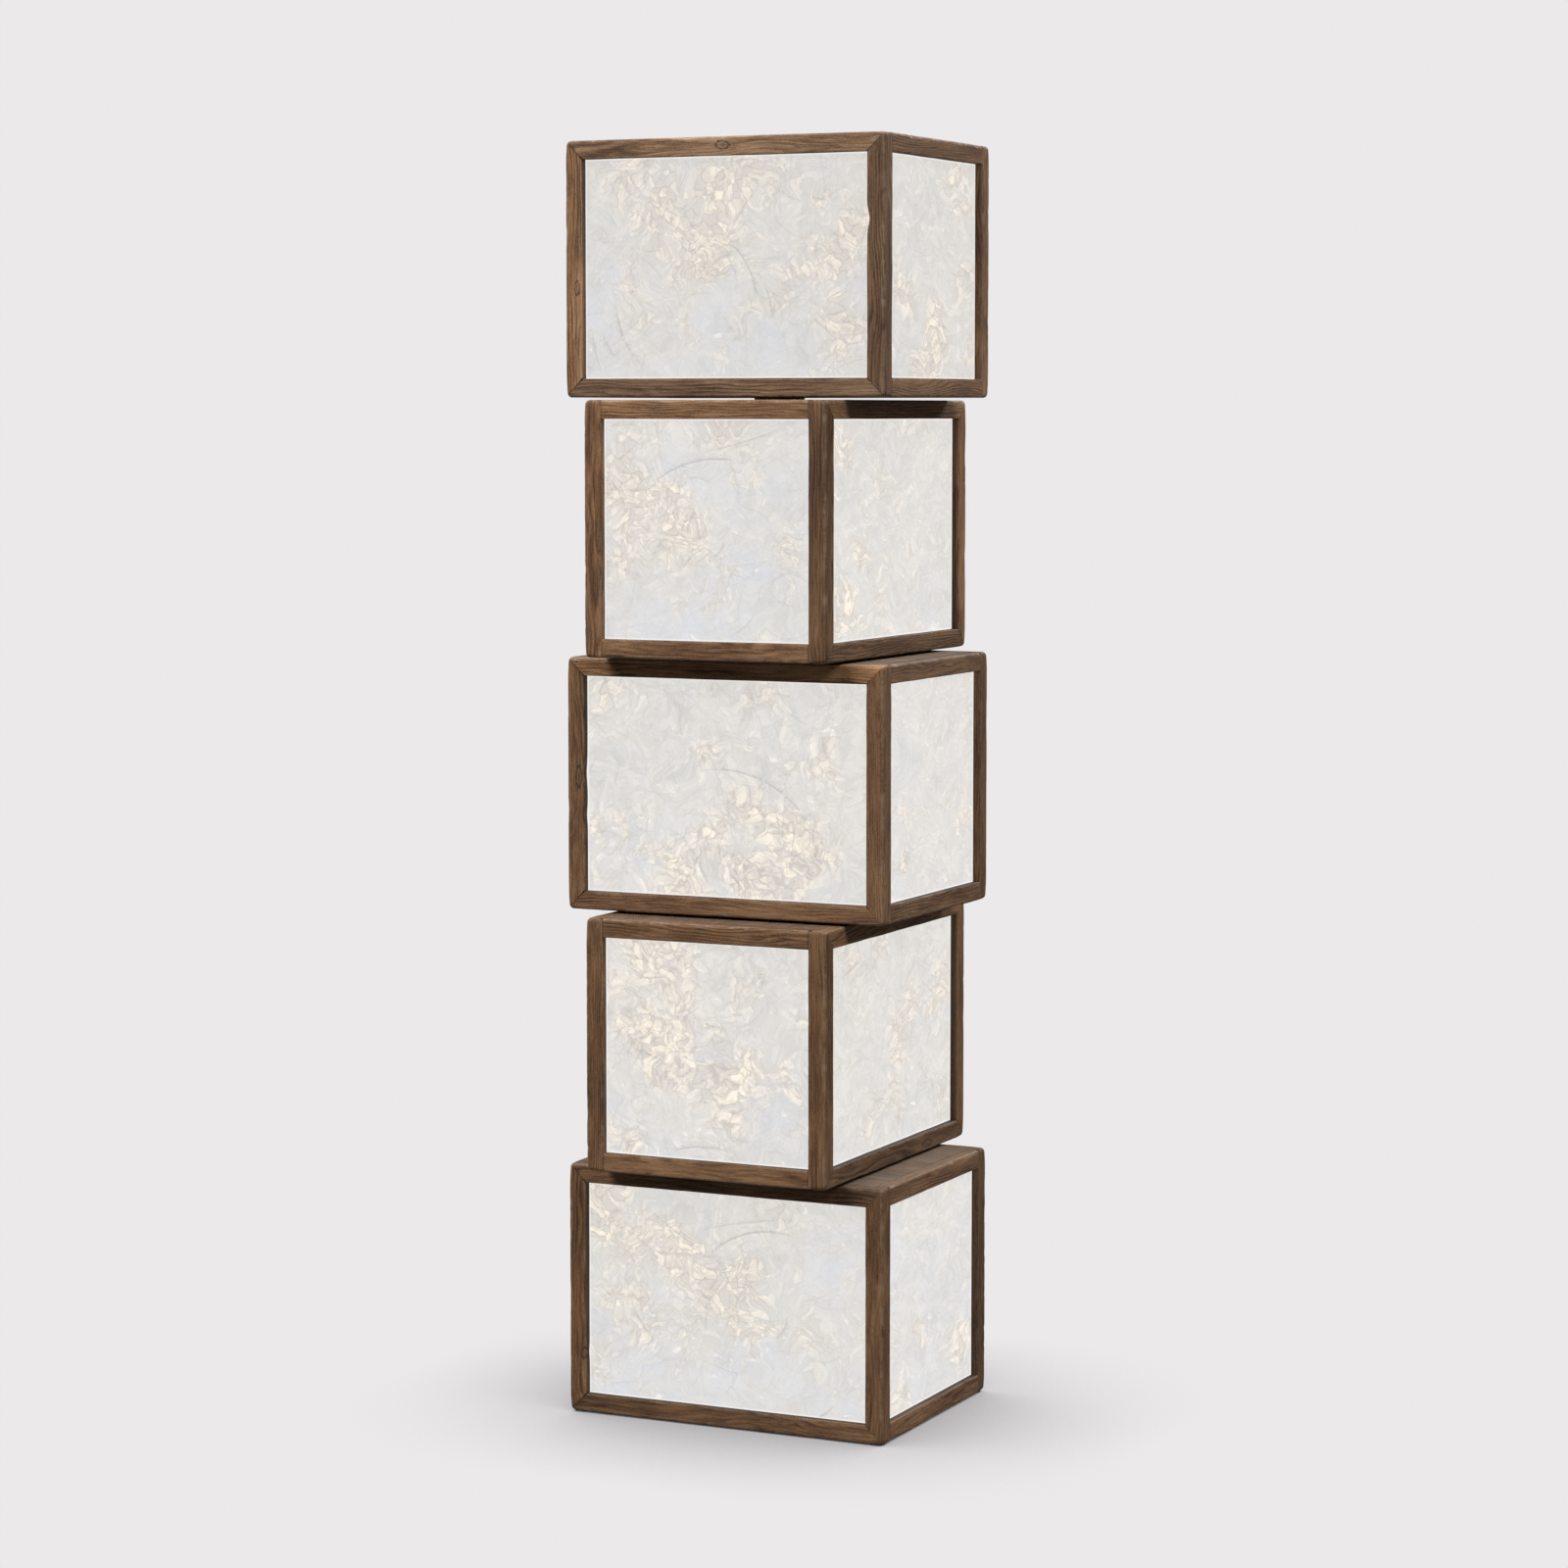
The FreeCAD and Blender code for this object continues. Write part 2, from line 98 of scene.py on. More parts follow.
# Clearances and rebates of the joinery
GROOVE_SIDE = 0.2 * MM
GROOVE_END = 0.6 * MM
BOARD_GAP = 0.3 * MM
DOOR_GAP = 1.0 * MM
DOOR_STOP_GAP = 0.5 * MM
DOOR_LAP = SASH_HALF_LENGTH + DOOR_GAP - INNER_HALF_LENGTH
BOARD_LIP = MEMBER - BOARD_LAP - BOARD_GAP

COLOUR = {"subtype": "COLOR", "size": 3, "min": 0.0, "max": 1.0}


class LampWood(bpy.types.PropertyGroup):
    """Edges and colours of the weathered wood"""
    arris: FloatProperty(
        name="Arris radius", description="Rounding of a box's outer edges",
        default=2.6 * MM, min=0.5 * MM, max=5 * MM, unit="LENGTH")
    arris_wear: FloatProperty(
        name="Arris wear", description="How much the outer rounding varies along an edge",
        default=1.5 * MM, min=0.0, max=3 * MM, unit="LENGTH")
    inner_arris: FloatProperty(
        name="Inner arris", description="Rounding of the edges that face the paper",
        default=0.9 * MM, min=0.2 * MM, max=3 * MM, unit="LENGTH")
    waver: FloatProperty(
        name="Waver", description="How far the faces of a stick wander from straight",
        default=0.22 * MM, min=0.0, max=1 * MM, unit="LENGTH")
    dark: FloatVectorProperty(
        name="Dark grain", description="Colour of the dark streaks",
        default=(0.036, 0.0185, 0.0088), **COLOUR)
    middle: FloatVectorProperty(
        name="Middle grain", description="Main colour of the wood",
        default=(0.106, 0.0580, 0.0295), **COLOUR)
    light: FloatVectorProperty(
        name="Light grain", description="Colour of the light streaks",
        default=(0.204, 0.130, 0.074), **COLOUR)
    worn: FloatVectorProperty(
        name="Worn edge", description="Colour of the rubbed edges",
        default=(0.215, 0.166, 0.118), **COLOUR)


class LampPaper(bpy.types.PropertyGroup):
    """Relief, colours and glow of the paper"""
    crumple: FloatProperty(
        name="Crumple height", description="Height of the folds that stand out of the sheet",
        default=0.7 * MM, min=0.0, max=3 * MM, unit="LENGTH")
    grid: FloatProperty(
        name="Grid", description="Spacing of the points of a sheet",
        default=3.2 * MM, min=1 * MM, max=10 * MM, unit="LENGTH")
    cool: FloatVectorProperty(
        name="Cool sheet", description="Colour of the smooth, thick parts",
        default=(0.690, 0.698, 0.726), **COLOUR)
    plain: FloatVectorProperty(
        name="Plain sheet", description="Main colour of the sheet",
        default=(0.705, 0.680, 0.645), **COLOUR)
    cream: FloatVectorProperty(
        name="Cream facets", description="Colour where the light shines through most",
        default=(0.978, 0.888, 0.762), **COLOUR)
    shaded: FloatVectorProperty(
        name="Shaded facets", description="Colour of the turned-away facets in a clump",
        default=(0.700, 0.658, 0.610), **COLOUR)
    glow: FloatProperty(
        name="Glow", description="Strength of the light through the sheet",
        default=0.968, min=0.0, max=5.0)


class LampStage(bpy.types.PropertyGroup):
    """Camera, floor and lights"""
    azimuth: FloatProperty(
        name="Azimuth", description="Camera heading round the lamp",
        default=math.radians(25.264), unit="ROTATION")
    pitch: FloatProperty(
        name="Pitch", description="How far the camera looks down",
        default=math.radians(4.465), unit="ROTATION")
    distance: FloatProperty(
        name="Distance", description="From the camera to the pole", default=4.9475, unit="LENGTH")
    side_step: FloatProperty(
        name="Side step", description="Camera shift across its line of sight",
        default=0.0052, unit="LENGTH")
    height: FloatProperty(
        name="Height", description="Camera height over the floor", default=1.1968, unit="LENGTH")
    lens: FloatProperty(
        name="Lens", description="Focal length in millimetres", default=95.05, min=10.0, max=400.0)
    shift: FloatProperty(
        name="Vertical shift", description="Lens shift as a share of the frame", default=-0.03125)
    floor_tone: FloatVectorProperty(
        name="Floor", description="Colour of the floor and the backdrop",
        default=(0.836, 0.812, 0.820), **COLOUR)
    shadow_reach: FloatProperty(
        name="Shadow reach", description="How far the contact shadow spreads",
        default=0.30, min=0.01, max=2.0, unit="LENGTH")
    shadow_strength: FloatProperty(
        name="Shadow strength", description="How dark the contact shadow grows",
        default=0.9, min=0.0, max=4.0)
    fill: FloatProperty(
        name="Fill", description="Strength of the light from all round",
        default=0.21, min=0.0, max=2.0)
    light_power: FloatProperty(
        name="Softbox power", description="Power of one softbox in watts",
        default=800.0, min=0.0, max=9000.0)
    light_distance: FloatProperty(
        name="Softbox distance", description="From the softboxes to the lamp",
        default=9.0, min=1.0, max=20.0, unit="LENGTH")
    light_height: FloatProperty(
        name="Softbox height", description="Angle of the softboxes above the lamp's middle",
        default=math.radians(42), unit="ROTATION")


def settings(name):
    """One of the lamp's groups of settings."""
    return getattr(bpy.context.scene, name)


# Smooth noise and meshes
NOISE_VALUES = 4096
LATTICE_FACTORS = (73856093, 19349663, 83492791)
TINY = 1e-9


def lattice_noise(points, cell, seed):
    """Random values on a cubic lattice of the given cell, blended by the smooth step
    f*f*(3 - 2f) along each axis, so the result runs smoothly between -1 and 1. A lattice
    point's value is picked from a table by the exclusive or of its scaled coordinates."""
    table = np.random.default_rng(seed).uniform(-1.0, 1.0, NOISE_VALUES)
    scaled = np.asarray(points, float) / cell
    base = np.floor(scaled).astype(np.int64)
    share = scaled - base
    share = share * share * (3.0 - 2.0 * share)
    total = np.zeros(scaled.shape[:-1])
    for corner in np.ndindex(2, 2, 2):
        key = np.bitwise_xor.reduce((base + corner) * LATTICE_FACTORS, axis=-1)
        weight = np.prod(np.where(np.array(corner) == 1, share, 1.0 - share), axis=-1)
        total += weight * table[np.mod(key, table.size)]
    return total


def spread(*parts):
    """Arrays and numbers brought to one shape and set side by side along a last axis."""
    return np.stack(np.broadcast_arrays(*parts), axis=-1)


def turned_profile(radii, heights, around):
    """A profile carried round the upright axis: each point stands at its height, at its radius
    times the cosine and the sine of an even angle."""
    angle = np.linspace(0.0, 2 * math.pi, around, endpoint=False)
    reach = radii[:, None]
    return spread(reach * np.cos(angle), reach * np.sin(angle), heights[:, None]).reshape(-1, 3)


def to_storey(points, level):
    """Turns box-local points a quarter turn for every other storey and lifts them to it."""
    x, y, z = points.T
    if level % 2:
        x, y = -y, x
    return np.column_stack([x, y, z + (BASE_Z + level * BOX_PITCH)])


def signed_volume(points, quads, caps):
    """Six times the volume that a part's faces enclose, positive where they point outwards:
    each face is split into triangles, and every triangle adds its box product."""
    spot = points - points.mean(axis=0)
    a, b, c, d = (spot[quads[:, corner]] for corner in range(4))
    total = np.sum(a * np.cross(b, c)) + np.sum(a * np.cross(c, d))
    for ring in (spot[cap] for cap in caps):
        total += np.sum(np.cross(ring[1:-1], ring[2:]) @ ring[0])
    return total


def grid_faces(rows, columns, closed):
    """Quads of a grid, row by row, with its columns joined round when closed."""
    row, column = np.meshgrid(np.arange(rows - 1), np.arange(columns if closed else columns - 1),
                              indexing="ij")
    first = row * columns + column
    second = row * columns + (column + 1) % columns
    return np.stack([first, second, second + columns, first + columns], axis=-1).reshape(-1, 4)


def tube_faces(rings, around):
    """Quads of a closed tube of rings and the two rings that cap it."""
    caps = [np.arange(around)[::-1], np.arange(around) + (rings - 1) * around]
    return grid_faces(rings, around, True), caps


class Piece:
    """Points, faces and named point values of one visible piece, gathered part by part."""

    def __init__(self, name):
        self.name = name
        self.points = []
        self.quads = []
        self.caps = []
        self.values = {}
        self.count = 0

    def add(self, points, quads, caps, values):
        """Takes in one closed part with its point values, its faces turned outwards."""
        way = 1 if signed_volume(points, quads, caps) > 0 else -1
        self.quads.append(quads[:, ::way] + self.count)
        self.caps += [cap[::way] + self.count for cap in caps]
        self.points.append(points)
        self.count += len(points)
        for key, value in values.items():
            self.values.setdefault(key, []).append(value)

    def make(self, material):
        """The finished object, at the origin, with its place in its mesh."""
        mesh = bpy.data.meshes.new(self.name)
        points = np.concatenate(self.points)
        quads = np.concatenate(self.quads)
        corners = np.concatenate([quads.ravel()] + self.caps)
        sizes = np.array([4] * len(quads) + [len(cap) for cap in self.caps])
        mesh.vertices.add(len(points))
        mesh.vertices.foreach_set("co", points.astype(np.float32).ravel())
        mesh.loops.add(len(corners))
        mesh.loops.foreach_set("vertex_index", corners.astype(np.int32))
        mesh.polygons.add(len(sizes))
        mesh.polygons.foreach_set("loop_start", (np.cumsum(sizes) - sizes).astype(np.int32))
        mesh.update(calc_edges=True)
        for key, parts in self.values.items():
            data = np.concatenate(parts).astype(np.float32)
            kind, field = ("FLOAT_VECTOR", "vector") if data.ndim == 2 else ("FLOAT", "value")
            mesh.attributes.new(key, kind, "POINT").data.foreach_set(field, data.ravel())
        mesh.polygons.foreach_set("use_smooth", np.ones(len(sizes), bool))
        mesh.materials.append(material)
        if mesh.validate():
            raise RuntimeError(self.name + " has faulty faces")
        piece = bpy.data.objects.new(self.name, mesh)
        bpy.context.scene.collection.objects.link(piece)
        return piece


# Sticks of the frame. A section's corner is sharp or one of three rounded kinds
SHARP, OUTER, INNER, CRISP = 0, 1, 2, 3
RUB_BY_KIND = np.array([0.0, 1.0, 0.6, 0.35])
ARC_STEPS = 4
ARC_ROOM = 4.6 * MM
LEAST_RADIUS = 0.2 * MM
MOST_RADIUS = 4.4 * MM
SIDE_SPACING = 2.4 * MM
RING_SPACING = 4.5 * MM
# Cells of the noise that swells, ripples and nicks an arris and bends a face
SWELL_CELL, RIPPLE_CELL, NICK_CELL, WAVER_CELL = 24 * MM, 7 * MM, 13 * MM, 38 * MM
NICK_LEVEL, NICK_DEPTH = 0.62, 6 * MM
CRISP_RADIUS, CRISP_WEAR = 0.5 * MM, 0.15 * MM
END_STEPS = np.array([0.0, 0.35, 0.9, 1.8, 3.2, 5.2]) * MM
END_REACH = END_STEPS[-1]
STOP_STEPS = END_REACH + np.array([1.4, 2.8]) * MM
SEAM_BEVEL = 0.35 * MM
SEAM_GAP = 0.06 * MM
SEAM_FADE = 0.8 * MM
CORNER_RADIUS = 5.5 * MM
CORNER_REACH = 14 * MM
BITE_DEPTH = 12 * MM
# The board's rebate is closed this far round the board's section, and by these small steps
REBATE_MARGIN, REBATE_SLACK, REBATE_CROWDING = 2 * MM, 0.05 * MM, 0.4 * MM
# The painted shade on a paper-side edge, where shade falls beside the paper: where it starts, how it
# grows, its band and its strength
REVEAL_SHADE_START, REVEAL_SHADE_GROWTH, REVEAL_SHADE_BAND, REVEAL_SHADE_SHARE = 0.5 * MM, 2.5 * MM, 1.2 * MM, 0.8
# How far along a log and from its heart a stick is cut, in metres and in millimetres
LOG_LENGTH, HEART_REACH = 6.0, (20, 70)
GROWTH_RING = 3.4 * MM


def unit(vector):
    """A vector of length one."""
    return vector / np.linalg.norm(vector)


def section_points(corners):
    """Walks round a section's corners. A rounded corner becomes an arc, whose points are the
    corner plus radius times (1 - sin, 1 - cos) along its two sides; a straight side gets
    evenly spaced points that stay clear of the arcs. Returns places, arc directions and kinds."""
    rows = []
    for index, (x, y, kind) in enumerate(corners):
        here = np.array([x, y], float)
        next_x, next_y, next_kind = corners[(index + 1) % len(corners)]
        side = np.array([next_x, next_y]) - here
        back, ahead = unit(np.array(corners[index - 1][:2]) - here), unit(side)
        if kind:
            for angle in np.linspace(0.0, math.pi / 2, ARC_STEPS):
                lean = back * (1 - math.sin(angle)) + ahead * (1 - math.cos(angle))
                rows.append((here, lean, kind))
        else:
            rows.append((here, np.zeros(2), SHARP))
        start = ARC_ROOM if kind else 0.0
        room = np.linalg.norm(side) - start - (ARC_ROOM if next_kind else 0.0)
        if room > SIDE_SPACING:
            shares = np.linspace(0.0, 1.0, int(room / SIDE_SPACING) + 1)
            for share in shares[0 if kind else 1:None if next_kind else -1]:
                rows.append((here + ahead * (start + share * room), np.zeros(2), SHARP))
    return [np.array(column) for column in zip(*rows)]


def groove_side(width, recess):
    """A section's inner side with the groove that holds the paper, from the back forwards."""
    near, far = recess - GROOVE_SIDE, recess + PAPER_THICKNESS + GROOVE_SIDE
    bottom = width - PAPER_HOLD - GROOVE_END
    return [(far, width, SHARP), (far, bottom, SHARP), (near, bottom, SHARP),
            (near, width, SHARP), (0, width, INNER)]


def frame_side(rear):
    """A frame member's inner side: the paper's groove or, at the rear, the door's rebate."""
    if not rear:
        return groove_side(MEMBER, RECESS)
    rebate = DOOR_RECESS + SASH_DEPTH + DOOR_STOP_GAP
    step = MEMBER - DOOR_LAP
    return [(rebate, MEMBER, CRISP), (rebate, step, SHARP), (0, step, INNER)]


def rail_section(rear):
    """Corners of a rail's section as depth from its face and distance from the box's top or
    bottom, with the board's rebate."""
    return [(0, 0, OUTER), (BOARD_LIP, 0, CRISP), (BOARD_LIP, BOARD_THICKNESS, SHARP),
            (MEMBER, BOARD_THICKNESS, CRISP), (MEMBER, MEMBER, CRISP)] + frame_side(rear)


def post_section(rear):
    """Corners of a post's section as depth from the long face and depth from the short face,
    with the side paper's groove."""
    side_groove = [(across, depth, kind) for depth, across, kind in groove_side(MEMBER, RECESS)]
    return [(0, 0, OUTER)] + side_groove[::-1] + [(MEMBER, MEMBER, CRISP)] + frame_side(rear)


def close_rebate(section, along, masked, first):
    """Stops a long rail's board rebate at the board's corners, two rings in from the mitres.
    A rebate point whose path length from the rebate's lip is s = depth - lip + height moves to
    (lip + s, 0) up to the lap and to (MEMBER, s - lap) past it."""
    lap = MEMBER - BOARD_LIP
    stop = INNER_HALF_LENGTH + BOARD_LAP + BOARD_GAP
    path = section[..., 0] - BOARD_LIP + section[..., 1]
    closed = np.stack([BOARD_LIP + np.minimum(path, lap), np.maximum(path - lap, 0.0)], axis=-1)
    ring = np.arange(len(along))
    from_end = np.minimum(ring, ring[::-1])[:, None]
    section[:] = np.where(((from_end <= first) & masked)[..., None], closed, section)
    past = stop - REBATE_SLACK - REBATE_CROWDING * np.maximum(from_end - first - 1, 0)
    way = np.where(ring < len(ring) / 2, -1.0, 1.0)[:, None]
    kept = np.where(from_end > first, way * np.minimum(np.abs(along), past), along)
    kept = np.where(from_end == first, way * (stop + REBATE_SLACK), kept)
    along[:] = np.where(masked, kept, along)


def arris_radii(along, kinds, seed):
    """Radius of each corner arc at each ring, swelling and nicked with smooth noise along the
    stick, and that swell."""
    wood = settings("lamp_wood")
    spot = spread(along, seed * 1.7, kinds * 0.35)
    swell = lattice_noise(spot, SWELL_CELL, seed)
    swell += 0.5 * lattice_noise(spot, RIPPLE_CELL, seed + 1)
    nick = np.clip(lattice_noise(spot, NICK_CELL, seed + 2) - NICK_LEVEL, 0.0, 1.0) * NICK_DEPTH
    radius = np.select(
        [kinds == OUTER, kinds == INNER, kinds == CRISP],
        [wood.arris + wood.arris_wear * swell + nick,
         wood.inner_arris * (1 + 0.45 * swell) + 0.5 * nick, CRISP_RADIUS + CRISP_WEAR * swell])
    return np.clip(radius, LEAST_RADIUS, MOST_RADIUS), swell


def bite(section, along, place, half, depth):
    """A bell-shaped hollow in the paper-side edge, fading to the back and away from the edge."""
    bell = np.exp(-((along - place) / half) ** 2 * 2.0)
    near_edge = np.clip((section[..., 1] - MEMBER / 2) / (MEMBER / 2), 0.0, 1.0) ** 2
    section[..., 1] -= depth * bell * np.exp(-(section[..., 0] / BITE_DEPTH) ** 2) * near_edge


def knot_share(section, along, knots):
    """How much each point belongs to a knot: a bell over an oval in the outer face."""
    share = np.zeros_like(along)
    for place, depth, half_long, half_wide in np.array(knots).reshape(-1, 4) * MM:
        far = ((along - place) / half_long) ** 2 + ((section[..., 1] - depth) / half_wide) ** 2
        share = np.maximum(share, np.exp(-far * 1.6) * (section[..., 0] < RECESS))
    return share


def stick(corners, low, high, mitred, seed, bites=(), knots=(), seams=(1.0, 1.0), stopped=False):
    """A stick: its section carried straight from low to high, less a point's second coordinate
    at both ends where it is mitred. Ring j stands at start + offset_j + share_j * (length less
    both end reaches), and smooth noise moves the faces a little in and out. A seam is how
    plainly the joint at an end shows. Bites and knots are in millimetres. Returns points as
    (along, first, second), faces and the marks of rubbed, knotted and dark places: dark seams, and
    painted shade on the paper-side reveals."""
    places, leans, kinds = section_points(corners)
    start = low + mitred * places[:, 1]
    span = high - mitred * places[:, 1] - start
    steps = np.concatenate([END_STEPS, STOP_STEPS]) if stopped else END_STEPS
    middle = max(int((span.max() - 2 * END_REACH) / RING_SPACING), 2)
    offsets = np.concatenate([steps, np.full(middle - 1, END_REACH), 2 * END_REACH - steps[::-1]])
    shares = np.concatenate([0 * steps, np.arange(1, middle) / middle, 0 * steps + 1])
    along = start + offsets[:, None] + shares[:, None] * (span - 2 * END_REACH)
    radius, swell = arris_radii(along, kinds, seed)
    section = places + radius[:, :, None] * leans

    solid = spread(along, section[..., 0], section[..., 1])
    wander = settings("lamp_wood").waver * lattice_noise(solid + seed, WAVER_CELL, seed + 3)
    from_end = np.where(shares < 0.5, offsets, 2 * END_REACH - offsets)
    wander *= np.clip(from_end / END_REACH, 0.0, 1.0)[:, None]
    centre = places.mean(axis=0)
    outwards = (places - centre) / np.linalg.norm(places - centre, axis=1)[:, None]
    section = section + wander[:, :, None] * outwards
    for place, half, depth in bites:
        bite(section, along, place * MM, half * MM, depth * MM)
    if stopped:
        by_board = places[:, 0] > MEMBER - BOARD_LAP - REBATE_MARGIN
        by_board &= places[:, 1] < BOARD_THICKNESS + REBATE_MARGIN
        close_rebate(section, along, by_board, len(steps) - 2)
    for ring, strength in zip((0, -1), seams):
        bevel = strength * SEAM_BEVEL / (MEMBER / 2)
        section[ring] = centre + (section[ring] - centre) * (1 - bevel)
    along[0] += SEAM_GAP
    along[-1] -= SEAM_GAP

    rub = RUB_BY_KIND[kinds] * np.clip(0.55 + 0.6 * swell, 0.0, 1.0)
    seam = np.where(shares < 0.5, seams[0], seams[1]) * np.exp(-from_end / SEAM_FADE)
    # Painted shade on the paper-side reveal: darker inwards from the face, near the paper
    inward = np.clip((section[..., 0] - REVEAL_SHADE_START) / REVEAL_SHADE_GROWTH, 0.0, 1.0)
    reveal_shade = REVEAL_SHADE_SHARE * inward * (section[..., 1] > section[..., 1].max() - REVEAL_SHADE_BAND)
    marks = spread(rub, knot_share(section, along, knots), np.maximum(seam[:, None], reveal_shade))
    points = spread(along, section[..., 0], section[..., 1]).reshape(-1, 3)
    return points, tube_faces(*along.shape), marks.reshape(-1, 3)


def member_values(points, marks, seed, lightness=None, redness=0.5):
    """Point values of a stick: its grain's own coordinates, its marks, and its shade, which
    is its lightness and its redness between 0 and 1."""
    rng = np.random.default_rng(seed + 900)
    start, light, red = rng.uniform(0.0, 1.0, 3)
    heart = unit(rng.uniform(-1.0, 1.0, 2)) * rng.uniform(*HEART_REACH) * MM
    grain = points + np.array([LOG_LENGTH * start, *heart])
    shade = (0.3 + 0.4 * light if lightness is None else lightness, redness + 0.3 * red, 0.0)
    return {"grain": grain, "marks": marks, "shade": np.tile(shade, (len(points), 1))}


def ease_corners(points, radius):
    """Pulls points that lie outside the rounded envelope of a box back onto it: the distance
    to the box shrunk by the radius is held to at most the radius. Towards a corner of the box
    the radius grows to CORNER_RADIUS as exp(-(distance to the corner / CORNER_REACH)^2)."""
    half = np.array([HALF_LENGTH, HALF_WIDTH, BOX_HEIGHT / 2])
    centred = points - np.array([0.0, 0.0, BOX_HEIGHT / 2])
    to_corner = np.linalg.norm(half - np.abs(centred), axis=1)
    grown = radius + (CORNER_RADIUS - radius) * np.exp(-(to_corner / CORNER_REACH) ** 2)
    inner = half - grown[:, None]
    away = centred - np.clip(centred, -inner, inner)
    far = np.linalg.norm(away, axis=1)
    shrink = np.where(far > grown, grown / np.maximum(far, TINY), 1.0)
    return points + (shrink[:, None] - 1.0) * away


def add_member(piece, level, made, local, seed, lightness=None, redness=0.5, eased=True):
    """Adds a stick, its points given at their place in the box, to its piece on its storey.
    A member of the frame is eased to the box's envelope."""
    points, faces, marks = made
    if eased:
        local = ease_corners(local, settings("lamp_wood").arris)
    values = member_values(points, marks, seed, lightness, redness)
    piece.add(to_storey(local, level), *faces, values)


# Marks that the photograph shows. A stick is named by its storey and its side of the box. A
# bite is its place along the stick, half its length and its depth, and a knot its place along
# the stick, its depth from the edge and half its two widths, all in millimetres
POST_BITES = {
    (4, 1, -1): [(202, 15, 3.0)],
    (2, -1, -1): [(162, 20, 2.4), (112, 14, 1.7)],
    (0, -1, -1): [(72, 12, 1.3)],
}
POST_KNOTS = {
    (4, -1, -1): (128, 15, 9, 3),
    (2, -1, -1): (158, 15, 14, 4),
    (0, -1, -1): (72, 19, 8, 3),
    (3, 1, -1): (210, 6, 9, 3),
}
RAIL_KNOTS = {(4, -1, True): (0, 10, 9, 5), (1, -1, False): (90, 9, 16, 4)}
# How plainly a short rail's two butt joints show, in a storey that stands square or turned
SHORT_RAIL_SEAMS = ((0.5, 0.25), (0.8, 0.8))
# How plainly a mitre shows in a long face, by storey, end of the face and side of the box. The
# others show as PLAIN_SEAM says
PLAIN_SEAM = 0.6
MITRE_SEAMS = {
    (4, -1, -1): 1.0, (4, 1, -1): 0.55, (2, -1, -1): 0.9, (2, 1, -1): 0.2, (0, -1, -1): 0.7,
    (0, 1, -1): 0.2, (3, -1, -1): 0.3, (3, 1, -1): 0.25, (1, -1, -1): 0.3, (1, 1, -1): 0.25,
}
# How red the posts and the long rails are in the lower boxes and in the highest
POST_REDNESS = (0.85, 0.5)
LONG_RAIL_REDNESS = (0.5, 0.0)
# How light a stick is, from 0 to 1. The others get a lightness at random
POST_LIGHTNESS = {
    (4, -1, -1): 0.82, (4, 1, -1): 0.10, (4, 1, 1): 0.45, (3, -1, 1): 0.55, (3, -1, -1): 0.10,
    (3, 1, -1): 0.55, (2, -1, -1): 0.35, (2, 1, -1): 0.25, (2, 1, 1): 0.25, (1, -1, 1): 0.30,
    (1, -1, -1): 0.25, (1, 1, -1): 0.45, (0, -1, -1): 0.40, (0, 1, -1): 0.22, (0, 1, 1): 0.05,
}
# In this table the front top rail of the third box, (2, -1, True), is set light to lift it out of the
# shadow of the box above: painted light.
LONG_RAIL_LIGHTNESS = {
    (4, -1, True): 0.92, (4, -1, False): 0.43, (3, -1, False): 0.25, (2, -1, True): 0.95,
    (2, -1, False): 0.45, (1, -1, False): 0.25, (0, -1, True): 0.35, (0, -1, False): 0.30,
}
SHORT_RAIL_LIGHTNESS = {
    (4, 1, True): 0.30, (4, 1, False): 0.34, (3, -1, True): 0.85, (3, -1, False): 0.60,
    (2, 1, True): 0.24, (2, 1, False): 0.40, (1, -1, True): 0.55, (1, -1, False): 0.48,
    (0, 1, True): 0.45, (0, 1, False): 0.40,
}


def post_piece(level):
    """The four posts of a box. A post's ends are mitred: it starts and ends as far from the
    box's bottom and top as a point lies from the short face."""
    piece = Piece("box%d_old_posts" % (level + 1))
    for side_y, side_x in itertools.product((-1, 1), (-1, 1)):
        key = (level, side_x, side_y)
        seed = 100 * level + 10 + side_x + 3 * side_y
        made = stick(post_section(side_y > 0), 0.0, BOX_HEIGHT, True, seed, POST_BITES.get(key, ()),
                     POST_KNOTS.get(key, ()), [MITRE_SEAMS.get(key, PLAIN_SEAM)] * 2)
        z, depth, inset = made[0].T
        local = np.column_stack([side_x * (HALF_LENGTH - inset), side_y * (HALF_WIDTH - depth), z])
        add_member(piece, level, made, local, seed, POST_LIGHTNESS.get(key),
                   POST_REDNESS[level == TOP_LEVEL])
    return piece


def long_rail_piece(level):
    """The four long rails of a box, mitred: a rail is as much shorter at both ends as a point
    lies from the box's top or bottom."""
    piece = Piece("box%d_old_long_rails" % (level + 1))
    for side_y, upper in itertools.product((-1, 1), (False, True)):
        key = (level, side_y, upper)
        seed = 100 * level + 30 + side_y + 4 * upper
        seams = [MITRE_SEAMS.get((level, end, side_y), PLAIN_SEAM) for end in (-1, 1)]
        made = stick(rail_section(side_y > 0), -HALF_LENGTH, HALF_LENGTH, True, seed,
                     knots=RAIL_KNOTS.get(key, ()), seams=seams, stopped=True)
        x, depth, rise = made[0].T
        local = np.column_stack([x, side_y * (HALF_WIDTH - depth),
                                 BOX_HEIGHT - rise if upper else rise])
        add_member(piece, level, made, local, seed, LONG_RAIL_LIGHTNESS.get(key),
                   LONG_RAIL_REDNESS[level == TOP_LEVEL])
    return piece


